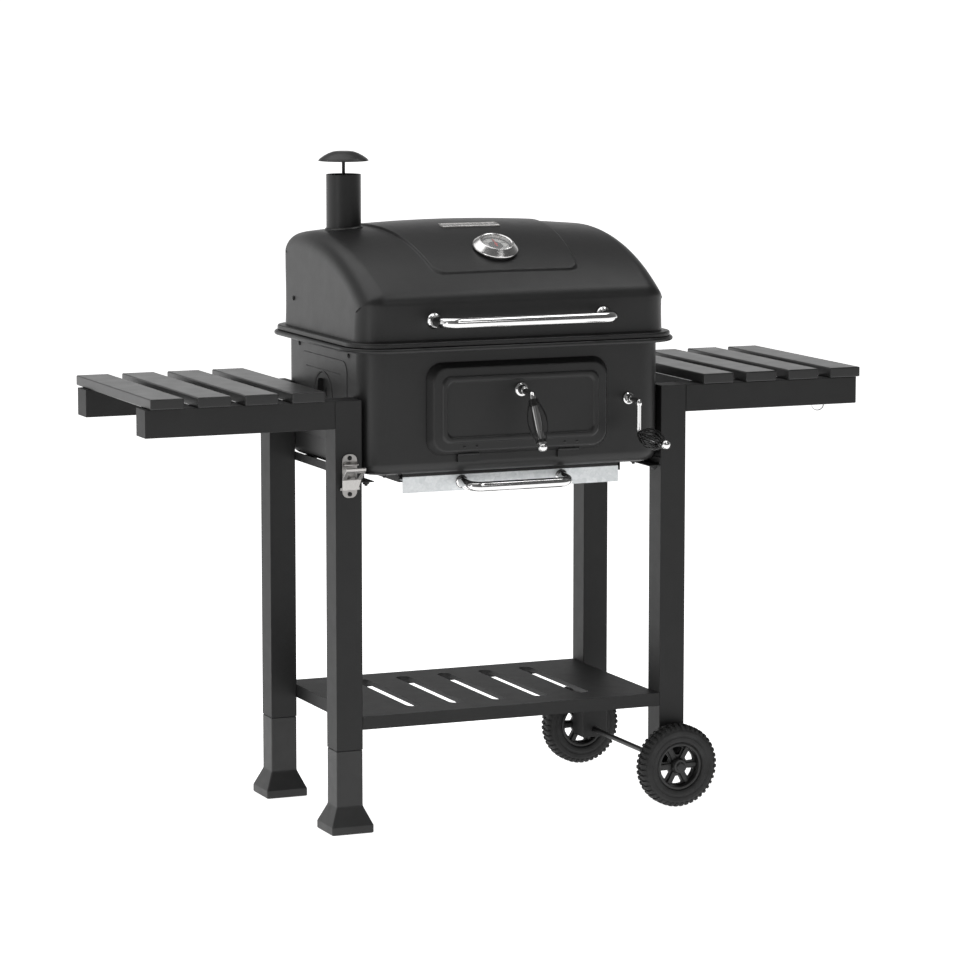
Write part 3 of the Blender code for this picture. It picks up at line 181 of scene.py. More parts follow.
def powder_coat(name, base, roughness, texture=0.10, scale=900.0):
    """Baked powder coat: fine orange peel, faint cloudiness and a few dusty patches."""
    n = Nodes(name)
    cloud = n.noise(7.0, 4.0, 0.55)
    colour = n.ramp(cloud, grey(base * 0.86), grey(base * 1.16), 0.30, 0.72)
    rough = n.range(n.noise(34.0, 5.0, 0.6), roughness - 0.05, roughness + 0.06)
    grain = n.bump(n.noise(scale, 2.0, 0.5), texture, 0.0004)
    peel = n.bump(n.noise(210.0, 1.0, 0.4), texture * 0.7, 0.0006, grain)
    return n.set(Base_Color=colour, Roughness=rough, Normal=peel, Specular_IOR_Level=0.40)


def moulded_plastic(name, base, roughness=0.55):
    """Black polypropylene with a fine spark-eroded grain."""
    n = Nodes(name)
    colour = n.ramp(n.noise(16.0, 4.0), grey(base * 0.85), grey(base * 1.2))
    rough = n.range(n.noise(60.0, 4.0), roughness - 0.06, roughness + 0.08)
    grain = n.bump(n.voronoi(1400.0), 0.16, 0.0003)
    return n.set(Base_Color=colour, Roughness=rough, Normal=grain)


def rubber(name):
    n = Nodes(name)
    dust = n.noise(28.0, 6.0, 0.65)
    colour = n.ramp(dust, grey(0.013), grey(0.026), 0.42, 0.78)
    rough = n.range(n.noise(90.0, 4.0), 0.62, 0.82)
    return n.set(Base_Color=colour, Roughness=rough, Normal=n.bump(n.noise(700.0), 0.22, 0.0004))


def chrome(name, base=0.78, roughness=0.07):
    """Bright plating with faint polishing haze."""
    n = Nodes(name)
    haze = n.noise(45.0, 5.0, 0.6)
    rough = n.range(haze, roughness * 0.6, roughness * 1.9)
    colour = n.ramp(n.noise(9.0, 3.0), grey(base * 0.96, 0.004), grey(base, 0.002))
    wave = n.bump(n.noise(160.0, 1.0), 0.02, 0.0004)
    return n.set(Base_Color=colour, Metallic=1.0, Roughness=rough, Normal=wave)


def brushed(name, base, roughness, stretch, warm=0.0, strength=0.12):
    """Metal brushed along the axis whose stretch is small."""
    n = Nodes(name)
    lines = n.noise(380.0, 4.0, 0.6, stretch)
    colour = n.ramp(lines, grey(base * 0.86, warm), grey(base * 1.08, warm), 0.25, 0.75)
    rough = n.range(lines, roughness - 0.08, roughness + 0.10)
    return n.set(Base_Color=colour, Metallic=1.0, Roughness=rough,
                 Normal=n.bump(lines, strength, 0.0002))


def galvanised(name):
    """Hot-dip zinc: crystal spangle in slightly different greys."""
    n = Nodes(name)
    cells = n.voronoi(95.0, "F1", "Color")
    fine = n.voronoi(260.0, "F1", "Color")
    mix = n.new("ShaderNodeMix", data_type="RGBA")
    mix.inputs[0].default_value = 0.4
    n.link(cells, mix.inputs[6])
    n.link(fine, mix.inputs[7])
    bright = n.new("ShaderNodeRGBToBW")
    n.link(mix.outputs[2], bright.inputs[0])
    value = bright.outputs[0]
    colour = n.ramp(value, (0.72, 0.75, 0.76), (0.90, 0.92, 0.93), 0.15, 0.85)
    rough = n.range(value, 0.38, 0.58)
    return n.set(Base_Color=colour, Metallic=0.55, Roughness=rough,
                 Normal=n.bump(value, 0.06, 0.0004))


def painted_board(name, base):
    """Painted timber: closed grain running along Y under matte black paint."""
    n = Nodes(name)
    grain = n.noise(60.0, 5.0, 0.6, (1.0, 0.06, 1.0))
    colour = n.ramp(n.noise(5.0, 4.0), grey(base * 0.88), grey(base * 1.14))
    rough = n.range(n.noise(26.0, 5.0), 0.30, 0.40)
    lines = n.bump(grain, 0.05, 0.0006)
    fine = n.bump(n.noise(800.0, 2.0), 0.07, 0.0003, lines)
    return n.set(Base_Color=colour, Roughness=rough, Normal=fine)


def enamel(name):
    n = Nodes(name)
    colour = n.ramp(n.noise(30.0, 5.0), grey(0.016), grey(0.036, 0.05), 0.35, 0.7)
    rough = n.range(n.noise(70.0, 4.0), 0.26, 0.46)
    return n.set(Base_Color=colour, Roughness=rough, Normal=n.bump(n.noise(240.0), 0.14, 0.0006))


def plain(name, colour, roughness=0.45, metallic=0.0):
    """Print or lacquer on a small part, faintly mottled."""
    n = Nodes(name)
    shade = n.ramp(n.noise(220.0, 2.0), [c * 0.93 for c in colour], colour)
    return n.set(Base_Color=shade, Roughness=roughness, Metallic=metallic,
                 Normal=n.bump(n.noise(900.0), 0.04, 0.0002))


def clear_glass(name):
    n = Nodes(name)
    rough = n.range(n.noise(120.0, 2.0), 0.01, 0.04)
    return n.set(Base_Color=(1.0, 1.0, 1.0, 1.0), Roughness=rough, IOR=1.45, Alpha=0.14)


BODY_COAT = powder_coat("body_coat", 0.0150, 0.40, 0.09)
LEG_COAT = powder_coat("frame_coat", 0.0125, 0.56, 0.12)
CHIMNEY_COAT = powder_coat("chimney_coat", 0.0160, 0.38, 0.07)
BOARD = painted_board("board_paint", 0.0180)
BOOT = moulded_plastic("boot_plastic", 0.0210, 0.50)
RIM_PLASTIC = moulded_plastic("rim_plastic", 0.0130, 0.42)
RUBBER = rubber("tyre_rubber")
CHROME = chrome("bright_chrome")
SATIN = chrome("satin_chrome", 0.58, 0.20)
BEZEL = brushed("bezel_steel", 0.74, 0.20, (1.0, 1.0, 1.0), 0.01, 0.015)
PLATE = brushed("plate_steel", 0.60, 0.34, (0.04, 1.0, 1.0), 0.02)
NICKEL = brushed("warm_nickel", 0.42, 0.34, (1.0, 1.0, 0.06), 0.03)
AXLE = brushed("axle_steel", 0.45, 0.36, (1.0, 0.05, 1.0))
ZINC = galvanised("zinc_spangle")
ENAMEL = enamel("black_enamel")
SCREW = chrome("zinc_screw", 0.55, 0.28)
BLACK_SCREW = powder_coat("blackened_screw", 0.012, 0.35, 0.05)
WIRE = powder_coat("black_wire", 0.012, 0.30, 0.04)
DIAL_WHITE = plain("dial_white", (0.74, 0.74, 0.72), 0.5)
DIAL_BLACK = plain("dial_black", (0.012, 0.012, 0.012), 0.4)
NEEDLE_RED = plain("needle_red", (0.72, 0.02, 0.015), 0.35)
GLASS = clear_glass("dial_glass")


# ---------------------------------------------------------------- mesh helpers
def mesh_from(build):
    shape = bmesh.new()
    build(shape)
    mesh = bpy.data.meshes.new("shape")
    shape.to_mesh(mesh)
    shape.free()
    return mesh


def add(name, mesh, material, body, replaced=(), angle=38.0, moved=True, weighted=True):
    """Link a mesh drawn in the legs' frame, and let it ride on a CAD body."""
    if moved:
        mesh.transform(Matrix.Translation(ORIGIN))
    mesh.name = name
    mesh.materials.clear()
    mesh.materials.append(material)
    mesh.shade_smooth()
    mesh.set_sharp_from_angle(angle=math.radians(angle))
    piece = bpy.data.objects.new(name, mesh)
    bpy.context.scene.collection.objects.link(piece)
    if weighted:
        normals = piece.modifiers.new("normals", "WEIGHTED_NORMAL")
        normals.keep_sharp = True
        normals.weight = 60
    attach(piece, body)
    if replaced:
        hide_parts(*replaced)
    return piece


def temporary(mesh):
    item = bpy.data.objects.new("temporary", mesh)
    bpy.context.scene.collection.objects.link(item)
    return item


def evaluated(item, keep=False):
    graph = bpy.context.evaluated_depsgraph_get()
    mesh = bpy.data.meshes.new_from_object(item.evaluated_get(graph))
    if not keep:
        bpy.data.objects.remove(item, do_unlink=True)
    return mesh


def boolean(mesh, tools, operation="DIFFERENCE"):
    """Exact booleans of a mesh with closed tools, one after another."""
    item = temporary(mesh)
    helpers = []
    for tool in tools:
        helper = temporary(tool)
        helpers.append(helper)
        modifier = item.modifiers.new("boolean", "BOOLEAN")
        modifier.object = helper
        modifier.operation = operation
        modifier.solver = "EXACT"
    result = evaluated(item)
    for helper in helpers:
        bpy.data.objects.remove(helper, do_unlink=True)
    return result


def bevelled(mesh, width, segments=3, angle=30.0, solid=0.0):
    item = temporary(mesh)
    if solid:
        shell = item.modifiers.new("sheet", "SOLIDIFY")
        shell.thickness = solid
        shell.offset = -1.0
    modifier = item.modifiers.new("bevel", "BEVEL")
    modifier.width = width
    modifier.segments = segments
    modifier.limit_method = "ANGLE"
    modifier.angle_limit = math.radians(angle)
    modifier.use_clamp_overlap = True
    return evaluated(item)


def solidified(mesh, thickness):
    item = temporary(mesh)
    shell = item.modifiers.new("sheet", "SOLIDIFY")
    shell.thickness = thickness
    shell.offset = -1.0
    shell.use_even_offset = False
    return evaluated(item)


def joined(meshes):
    def build(shape):
        for mesh in meshes:
            shape.from_mesh(mesh)

    return mesh_from(build)


def box_mesh(low, high):
    low, high = Vector(low), Vector(high)

    def build(shape):
        bmesh.ops.create_cube(shape, size=1.0)
        bmesh.ops.scale(shape, vec=high - low, verts=shape.verts)
        bmesh.ops.translate(shape, vec=(low + high) / 2, verts=shape.verts)

    return mesh_from(build)


def aim(direction):
    return Vector(direction).to_track_quat("Z", "Y").to_matrix().to_4x4()


def at(position, direction=(0, 0, 1)):
    return Matrix.Translation(Vector(position)) @ aim(direction)


def cylinder_mesh(start, end, radius, segments=32):
    start, end = Vector(start), Vector(end)

    def build(shape):
        bmesh.ops.create_cone(shape, cap_ends=True, segments=segments, radius1=radius,
                              radius2=radius, depth=(end - start).length)
        place = Matrix.Translation((start + end) / 2) @ aim(end - start)
        bmesh.ops.transform(shape, matrix=place, verts=shape.verts)

    return mesh_from(build)


def softened(profile, radius, steps=3):
    """Round the corners of an open profile of (radius, height) points."""
    points = [Vector((*p, 0.0)) for p in profile]
    path = [points[0]]
    for before, corner, after in zip(points, points[1:], points[2:]):
        into, out = corner - before, after - corner
        if min(into.length, out.length) < 1e-7:
            path.append(corner)
            continue
        turn = into.angle(out)
        if turn < 0.15 or turn > 3.0:
            path.append(corner)
            continue
        reach = min(radius * math.tan(turn / 2), into.length * 0.45, out.length * 0.45)
        first = corner - into.normalized() * reach
        last = corner + out.normalized() * reach
        for step in range(steps + 1):
            t = step / steps
            path.append(first * (1 - t) ** 2 + corner * 2 * t * (1 - t) + last * t * t)
    path.append(points[-1])
    return [(p.x, p.y) for p in path]


def lathe(profile, steps=64, place=None, start=0.0, sweep=360.0):
    """Turn (radius, height) points about Z. Points on the axis become one vertex."""
    def build(shape):
        columns = []
        axis_points = {}
        full = sweep >= 359.9
        count = steps if full else steps + 1
        for step in range(count):
            angle = math.radians(start + sweep * step / steps)
            column = []
            for index, (radius, height) in enumerate(profile):
                if radius < 1e-7:
                    if index not in axis_points:
                        axis_points[index] = shape.verts.new((0.0, 0.0, height))
                    column.append(axis_points[index])
                else:
                    column.append(shape.verts.new((radius * math.cos(angle),
                                                   radius * math.sin(angle), height)))
            columns.append(column)
        for step in range(steps):
            left = columns[step]
            right = columns[(step + 1) % len(columns)]
            for index in range(len(profile) - 1):
                corners = [left[index], right[index], right[index + 1], left[index + 1]]
                unique = []
                for corner in corners:
                    if corner not in unique:
                        unique.append(corner)
                if len(unique) > 2:
                    shape.faces.new(unique)
        bmesh.ops.remove_doubles(shape, verts=shape.verts, dist=1e-7)
        bmesh.ops.recalc_face_normals(shape, faces=shape.faces)
        if place is not None:
            bmesh.ops.transform(shape, matrix=place, verts=shape.verts)

    return mesh_from(build)


def rounded_path(points, radius, steps=8):
    points = [Vector(p) for p in points]
    path = [points[0]]
    for before, corner, after in zip(points, points[1:], points[2:]):
        into, out = (corner - before).normalized(), (after - corner).normalized()
        turn = into.angle(out)
        side = (out - into * into.dot(out)).normalized()
        centre = corner - into * radius * math.tan(turn / 2) + side * radius
        for step in range(steps + 1):
            angle = turn * step / steps
            path.append(centre - side * radius * math.cos(angle) + into * radius * math.sin(angle))
    path.append(points[-1])
    return path


def sweep(path, radius, sides=20, closed=False, caps=True):
    """A round bar along a path. radius is a number, or one for each point."""
    path = [Vector(p) for p in path]
    count = len(path)
    radii = list(radius) if hasattr(radius, "__len__") else [radius] * count

    def build(shape):
        rings = []
        normal = None
        for index in range(count):
            before = path[(index - 1) % count] if closed or index else path[index]
            after = path[(index + 1) % count] if closed or index < count - 1 else path[index]
            tangent = (after - before).normalized()
            if normal is None:
                helper = Vector((0, 0, 1)) if abs(tangent.z) < 0.9 else Vector((1, 0, 0))
                normal = (helper - tangent * helper.dot(tangent)).normalized()
            else:
                normal = (normal - tangent * normal.dot(tangent)).normalized()
            across = tangent.cross(normal)
            ring = []
            for side in range(sides):
                angle = 2 * math.pi * side / sides
                offset = normal * math.cos(angle) + across * math.sin(angle)
                ring.append(shape.verts.new(path[index] + offset * radii[index]))
            rings.append(ring)
        spans = count if closed else count - 1
        for index in range(spans):
            lower, upper = rings[index], rings[(index + 1) % count]
            for side in range(sides):
                after = (side + 1) % sides
                shape.faces.new((lower[side], lower[after], upper[after], upper[side]))
        if caps and not closed:
            shape.faces.new(reversed(rings[0]))
            shape.faces.new(rings[-1])
        bmesh.ops.recalc_face_normals(shape, faces=shape.faces)

    return mesh_from(build)


def outline(half_x, half_y, radius, steps=6):
    points = []
    for index, (sx, sy) in enumerate(((1, 1), (-1, 1), (-1, -1), (1, -1))):
        for step in range(steps + 1):
            angle = math.radians(90 * index + 90 * step / steps)
            points.append((sx * (half_x - radius) + radius * math.cos(angle),
                           sy * (half_y - radius) + radius * math.sin(angle)))
    return points


def loft(rings, steps=6, place=None, closed=False):
    """Loft rounded rectangles (half_x, half_y, radius, z); ends filled unless closed."""
    def build(shape):
        loops = []
        for half_x, half_y, radius, z in rings:
            loops.append([shape.verts.new((x, y, z))
                          for x, y in outline(half_x, half_y, max(radius, 0.0002), steps)])
        pairs = list(zip(loops, loops[1:]))
        if closed:
            pairs.append((loops[-1], loops[0]))
        for lower, upper in pairs:
            for index in range(len(lower)):
                after = (index + 1) % len(lower)
                shape.faces.new((lower[index], lower[after], upper[after], upper[index]))
        if not closed:
            shape.faces.new(reversed(loops[0]))
            shape.faces.new(loops[-1])
        bmesh.ops.recalc_face_normals(shape, faces=shape.faces)
        if place is not None:
            bmesh.ops.transform(shape, matrix=place, verts=shape.verts)

    return mesh_from(build)


def prism(points, low, high, place=None):
    """An outline of 2D points, from height low to high."""
    def build(shape):
        bottom = [shape.verts.new((x, y, low)) for x, y in points]
        top = [shape.verts.new((x, y, high)) for x, y in points]
        for index in range(len(points)):
            after = (index + 1) % len(points)
            shape.faces.new((bottom[index], bottom[after], top[after], top[index]))
        shape.faces.new(reversed(bottom))
        shape.faces.new(top)
        bmesh.ops.recalc_face_normals(shape, faces=shape.faces)
        if place is not None:
            bmesh.ops.transform(shape, matrix=place, verts=shape.verts)

    return mesh_from(build)


def cad_copy(node):
    """A clean copy of a CAD node's mesh, with its flat faces whole again."""
    source = frame["nodes"][node].data

    def build(shape):
        shape.from_mesh(source)
        bmesh.ops.remove_doubles(shape, verts=shape.verts, dist=1e-6)
        bmesh.ops.dissolve_limit(shape, angle_limit=math.radians(1.0), verts=shape.verts,
                                 edges=shape.edges)

    mesh = mesh_from(build)
    mesh.transform(Matrix.Translation(-ORIGIN))
    return mesh


def body_of(node):
    for name, members in frame["record"]["behaviour"]["bodies"].items():
        if node in members:
            return name
    return None


def refine(node, width, material, segments=3, angle=30.0):
    """Replace a CAD node by itself with rounded edges."""
    mesh = bevelled(cad_copy(node), width, segments, angle)
    return add(node + "_shape", mesh, material, body_of(node), (node,))


def smooth(value):
    value = min(max(value, 0.0), 1.0)
    return value * value * (3 - 2 * value)


# ---------------------------------------------------------------- small hardware
def cross_head(radius, height):
    """Pan-head screw with a cross recess, seat at z = 0."""
    profile = softened([(0.0, height), (radius * 0.55, height * 0.96), (radius * 0.92, height * 0.62),
                        (radius, height * 0.1), (radius, 0.0), (0.0, 0.0)], radius * 0.15)
    head = lathe(profile, 24)
    arm, wide = radius * 0.62, radius * 0.14
    cross = [box_mesh((-arm, -wide, height * 0.45), (arm, wide, height * 2)),
             box_mesh((-wide, -arm, height * 0.45), (wide, arm, height * 2))]
    return boolean(head, cross)


def dome_head(radius, height):
    profile = [(0.0, height)]
    for step in range(1, 7):
        angle = math.radians(90 * step / 6)
        profile.append((radius * math.sin(angle), height * math.cos(angle)))
    profile.append((radius, -0.0004))
    profile.append((0.0, -0.0004))
    return lathe(profile, 20)


def hex_nut(radius, height):
    points = [(radius * math.cos(math.radians(60 * i)), radius * math.sin(math.radians(60 * i)))
              for i in range(6)]
    nut = bevelled(prism(points, 0.0, height), radius * 0.10, 2)
    stud = lathe(softened([(0.0, height * 1.7), (radius * 0.5, height * 1.7),
                           (radius * 0.5, 0.0)], 0.0006) + [(0.0, 0.0)], 20)
    washer = lathe(softened([(0.0, height * 0.16), (radius * 1.25, height * 0.16),
                             (radius * 1.25, -0.0003)], 0.0003) + [(0.0, -0.0003)], 28)
    return joined([nut, stud, washer])


def scatter(name, pattern, places, material, body):
    """Several copies of one small shape as a single piece. places: (position, direction, turn)."""
    copies = []
    for position, direction, turn in places:
        copy = pattern.copy()
        copy.transform(at(position, direction) @ Matrix.Rotation(math.radians(turn), 4, "Z"))
        copies.append(copy)
    return add(name, joined(copies), material, body, ())


# ---------------------------------------------------------------- trolley
def make_trolley():
    for side in ("left", "right"):
        for end in ("front", "rear"):
            refine("leg_%s_%s" % (end, side), 0.0022, LEG_COAT, 3)
            refine("table_rail_%s_%s" % (end, side), 0.0022, LEG_COAT, 3)
        for index in range(1, 5):
            refine("slat_%s_%d" % (side, index), 0.0010, BOARD, 2, 20.0)
    refine("bottom_shelf", 0.0009, LEG_COAT, 3, 32.0)
    for side in ("left", "right"):
        refine("support_bar_%s" % side, 0.0006, LEG_COAT, 2)
        refine("drawer_guide_%s" % side, 0.0004, LEG_COAT, 2)
    refine("drawer_crossbar", 0.0006, LEG_COAT, 2)
    make_boots()
    make_frame_screws()


def make_boots():
    """Moulded feet: bevelled skirt, hipped taper and a square sleeve with a shadow gap on top."""
    for end, sy in (("front", -1), ("rear", 1)):
        place = Matrix.Translation((-0.319, sy * 0.170, 0.0))
        rings = [(0.0365, 0.0365, 0.003, 0.0), (0.0385, 0.0385, 0.003, 0.0),
                 (0.0400, 0.0400, 0.003, 0.0015), (0.0400, 0.0400, 0.003, 0.0142),
                 (0.0394, 0.0394, 0.003, 0.0156), (0.0262, 0.0262, 0.003, 0.0452),
                 (0.0252, 0.0252, 0.003, 0.0480), (0.0250, 0.0250, 0.003, 0.0500),
                 (0.0250, 0.0250, 0.003, 0.1486), (0.0243, 0.0243, 0.003, 0.1495),
                 (0.0228, 0.0228, 0.003, 0.1495), (0.0226, 0.0226, 0.003, 0.1850)]
        add("boot_%s" % end, loft(rings, 5, place), BOOT, "trolley",
            ("foot_%s_left" % end,), 25.0)


def make_frame_screws():
    hex_bolt = hex_nut(0.0058, 0.0040)
    places = []
    for sx in (-1, 1):
        for sy in (-1, 1):
            # under the corners of the firebox and inside the shelf's aprons
            places.append(((sx * 0.2836, sy * 0.1880, 0.6330), (0, 0, -1), 15))
            places.append(((sx * 0.2450, sy * 0.1800, 0.6445), (0, 0, -1), 40))
    scatter("firebox_bolts", hex_bolt, places, BLACK_SCREW, "trolley")
    small = dome_head(0.0046, 0.0022)
    dots = []
    for sx in (-1, 1):
        for sy in (-1, 1):
            dots.append(((sx * 0.2925, sy * 0.170, 0.1975), (-sx, 0, 0), 0))
            dots.append(((sx * 0.3190, sy * 0.1450, 0.7560), (0, -sy, 0), 0))
    scatter("shelf_bolts", small, dots, BLACK_SCREW, "trolley")


# ---------------------------------------------------------------- wheels
def tyre_mesh():
    carcass = [(0.0442, 0.0135), (0.0460, 0.0168), (0.0490, WHEEL_HALF - 0.0004),
               (0.0535, WHEEL_HALF), (0.0550, WHEEL_HALF - 0.0007), (0.0580, WHEEL_HALF - 0.0007),
               (0.0595, WHEEL_HALF), (0.0650, WHEEL_HALF - 0.0001), (0.0700, 0.0158), (0.0733, 0.0120),
               (0.0740, 0.0060), (0.0740, 0.0)]
    profile = carcass + [(r, -h) for r, h in reversed(carcass[:-1])] + [carcass[0]]
    body = lathe(softened(profile, 0.0012, 2), 96)
    lugs = []
    count = 44
    for side in (-1, 1):
        for index in range(count):
            turn = 360.0 * (index + (0.5 if side > 0 else 0.0)) / count
            section = [(0.0690, 0.0176), (0.0722, 0.0168), (0.0754, 0.0138), (0.0768, 0.0100),
                       (0.0770, 0.0012), (0.0728, 0.0012), (0.0690, 0.0100)]
            points = [(r, side * h) for r, h in section]
            half = math.radians(360.0 / count * 0.30)
            lug = prism(points, -0.0650 * half, 0.0650 * half)
            lug = bevelled(lug, 0.0006, 1, 25.0)
            # section plane (radius, axial) stands up; extrusion runs round the wheel
            stand = Matrix(((1, 0, 0, 0), (0, 0, -1, 0), (0, 1, 0, 0), (0, 0, 0, 1)))
            lug.transform(Matrix.Rotation(math.radians(turn), 4, "Z") @ stand)
            lugs.append(lug)
    return joined([body] + lugs)


def rim_mesh():
    half = 0.0150
    ring = [(0.0375, half - 0.0040), (0.0388, half - 0.0004), (0.0410, half), (0.0440, half - 0.0008),
            (0.0442, half - 0.0030)]
    profile = ring + [(r, -h) for r, h in reversed(ring)] + [ring[0]]
    outer = lathe(softened(profile, 0.0006, 2), 72)
    disc = lathe(softened([(0.0120, 0.0040), (0.0385, 0.0030), (0.0385, -0.0030), (0.0120, -0.0040),
                           (0.0120, 0.0040)], 0.0004, 2), 72)
    windows = []
    for index in range(6):
        points = [(0.0205, -0.0040), (0.0318, -0.0098), (0.0338, -0.0082), (0.0346, -0.0030),
                  (0.0346, 0.0030), (0.0338, 0.0082), (0.0318, 0.0098), (0.0205, 0.0040),
                  (0.0198, 0.0020), (0.0198, -0.0020)]
        window = prism(points, -0.02, 0.02)
        window.transform(Matrix.Rotation(math.radians(60 * index + 30), 4, "Z"))
        windows.append(window)
    disc = boolean(disc, [joined(windows)])
    ribs = []
    for side in (-1, 1):
        for index in range(6):
            rib = prism([(0.0140, -0.0042), (0.0378, -0.0034), (0.0378, 0.0034), (0.0140, 0.0042)],
                        0.0028 if side > 0 else -0.0075, 0.0075 if side > 0 else -0.0028)
            rib = bevelled(rib, 0.0009, 2)
            rib.transform(Matrix.Rotation(math.radians(60 * index), 4, "Z"))
            ribs.append(rib)
    hub = lathe(softened([(0.0051, WHEEL_HALF), (0.0122, WHEEL_HALF), (0.0138, WHEEL_HALF - 0.0030),
                          (0.0150, 0.0060), (0.0150, -0.0060), (0.0138, 0.0030 - WHEEL_HALF),
                          (0.0122, -WHEEL_HALF), (0.0051, -WHEEL_HALF), (0.0051, WHEEL_HALF)],
                         0.0008, 3), 48)
    return joined([outer, disc, hub] + ribs)


def make_wheels():
    tyre, rim = tyre_mesh(), rim_mesh()
    for end, sy in (("front", -1), ("rear", 1)):
        place = at((WHEEL_X, sy * WHEEL_Y, WHEEL_RADIUS), (0, sy, 0))
        body = "wheel_%s" % end
        tyre_copy, rim_copy = tyre.copy(), rim.copy()
        tyre_copy.transform(place)
        rim_copy.transform(place)
        add("tyre_tread_%s" % end, tyre_copy, RUBBER, body, ("tyre_%s" % end,), 30.0)
        add("rim_%s" % end, rim_copy, RIM_PLASTIC, body, ("wheel_rim_%s" % end,),
            30.0)
        cap = lathe(softened([(0.0, 0.0030), (0.0060, 0.0028), (0.0082, 0.0012), (0.0085, -0.0002),
                              (0.0, -0.0002)], 0.0006), 32)
        cap.transform(at((WHEEL_X, sy * (WHEEL_Y + WHEEL_HALF), WHEEL_RADIUS), (0, sy, 0)))
        add("hub_cap_%s" % end, cap, BLACK_SCREW, "wheel_%s" % end, ())
    end_y = 0.2310
    axle = lathe(softened([(0.0, end_y), (0.0050, end_y), (0.0050, -end_y), (0.0, -end_y)], 0.0008),
                 32, at((WHEEL_X, 0.0, WHEEL_RADIUS), (0, 1, 0)))
    add("axle", axle, BLACK_SCREW, "trolley", ("wheel_axle",))
    washers = []
    for sy in (-1, 1):
        washer = lathe(softened([(0.0052, 0.0009), (0.0115, 0.0009), (0.0115, -0.0009),
                                 (0.0052, -0.0009), (0.0052, 0.0009)], 0.0003), 32)
        washer.transform(at((WHEEL_X, sy * 0.1962, WHEEL_RADIUS), (0, 1, 0)))
        washers.append(washer)
    add("axle_washers", joined(washers), SCREW, "trolley", ())


# ---------------------------------------------------------------- firebox
def box_ring(offset, z):
    return (BOX_HALF_X + offset, BOX_HALF_Y + offset, BOX_CORNER + offset, z)


def kidney_holes(x, turn, radius=0.0095):
    tools = []
    for index in range(3):
        angle = math.radians(90 + 120 * index) + turn
        y, z = BODY_Y + 0.026 * math.cos(angle), VENT_Z + 0.026 * math.sin(angle)
        tools.append(cylinder_mesh((x - 0.01, y, z), (x + 0.01, y, z), radius, 28))
    return tools


def make_firebox():
    edge, wall = 0.022, 0.0020
    rings = []
    for step in range(9):
        angle = math.radians(90 * step / 8)
        rings.append(box_ring(-edge + edge * math.sin(angle), BOX_BOTTOM + edge - edge * math.cos(angle)))
    rings += [box_ring(0.0, RIM_BOTTOM - 0.0035), box_ring(0.0011, RIM_BOTTOM - 0.0009),
              box_ring(0.0038, RIM_BOTTOM), box_ring(RIM_OVERHANG - 0.0035, RIM_BOTTOM)]
    for step in range(1, 8):
        angle = math.radians(-90 + 180 * step / 8)
        rings.append(box_ring(RIM_OVERHANG - 0.0042 + 0.0042 * math.cos(angle),
                              (RIM_BOTTOM + RIM_TOP) / 2 + 0.00425 * math.sin(angle)))
    rings += [box_ring(RIM_OVERHANG - 0.0042, RIM_TOP), box_ring(0.0012, RIM_TOP),
              box_ring(-wall + 0.0004, RIM_TOP - 0.0006), box_ring(-wall, RIM_TOP - 0.0022),
              box_ring(-wall, LEDGE_TOP + 0.0015), box_ring(-wall - 0.0010, LEDGE_TOP),
              box_ring(-0.0105, LEDGE_TOP), box_ring(-0.011, LEDGE_TOP - 0.0005),
              box_ring(-0.011, LEDGE_TOP - 0.0015), box_ring(-wall, LEDGE_TOP - 0.004)]
    inner = edge - wall
    for step in range(8, -1, -1):
        angle = math.radians(90 * step / 8)
        rings.append(box_ring(-edge + inner * math.sin(angle), BOX_BOTTOM + edge - inner * math.cos(angle)))
    shell = loft(rings, 14, Matrix.Translation((0.0, BODY_Y, 0.0)))
    middle = (DOOR_BOTTOM + DOOR_TOP) / 2
    opening = Matrix.Translation((0.0, FACE - 0.01, middle)) @ FACE_FRONT
    tools = [prism(outline(0.158, 0.067, 0.006, 6), -0.03, 0.01, opening)]
    tools.append(prism([(x, y + BODY_Y) for x, y in outline(0.2400, 0.1600, 0.012, 6)],
                       BOX_BOTTOM - 0.01, BOX_BOTTOM + 0.01))
    for sx in (-1, 1):
        tools.append(joined(kidney_holes(sx * BOX_HALF_X, 0.0)))
    tools.append(cylinder_mesh((CRANK_X, FACE - 0.01, CRANK_Z), (CRANK_X, FACE + 0.01, CRANK_Z), 0.0042))
    add("firebox_shell", boolean(shell, tools), BODY_COAT, "trolley", ("firebox",), 32.0)
    make_ash_plate()
    make_side_panels()
    make_dampers()
    make_grates()
    make_firebox_screws()


def make_ash_plate():
    """Slotted plate that lies on the floor's border."""
    low = BOX_BOTTOM + 0.0020
    place = Matrix.Translation((0.0, BODY_Y, 0.0))
    plate = loft([(0.2556, 0.1736, 0.003, low), (0.2560, 0.1740, 0.003, low + 0.0003),
                  (0.2560, 0.1740, 0.003, low + 0.0012), (0.2556, 0.1736, 0.003, low + 0.0015)], 4, place)
    slots = []
    for index in range(7):
        x = (index - 3) * 0.052
        slots.append(prism([(x + a, b) for a, b in outline(0.010, 0.130, 0.0099, 6)], low - 0.01, low + 0.01))
    add("ash_plate_sheet", boolean(plate, [joined(slots)]), BODY_COAT, "trolley", ("ash_plate",))


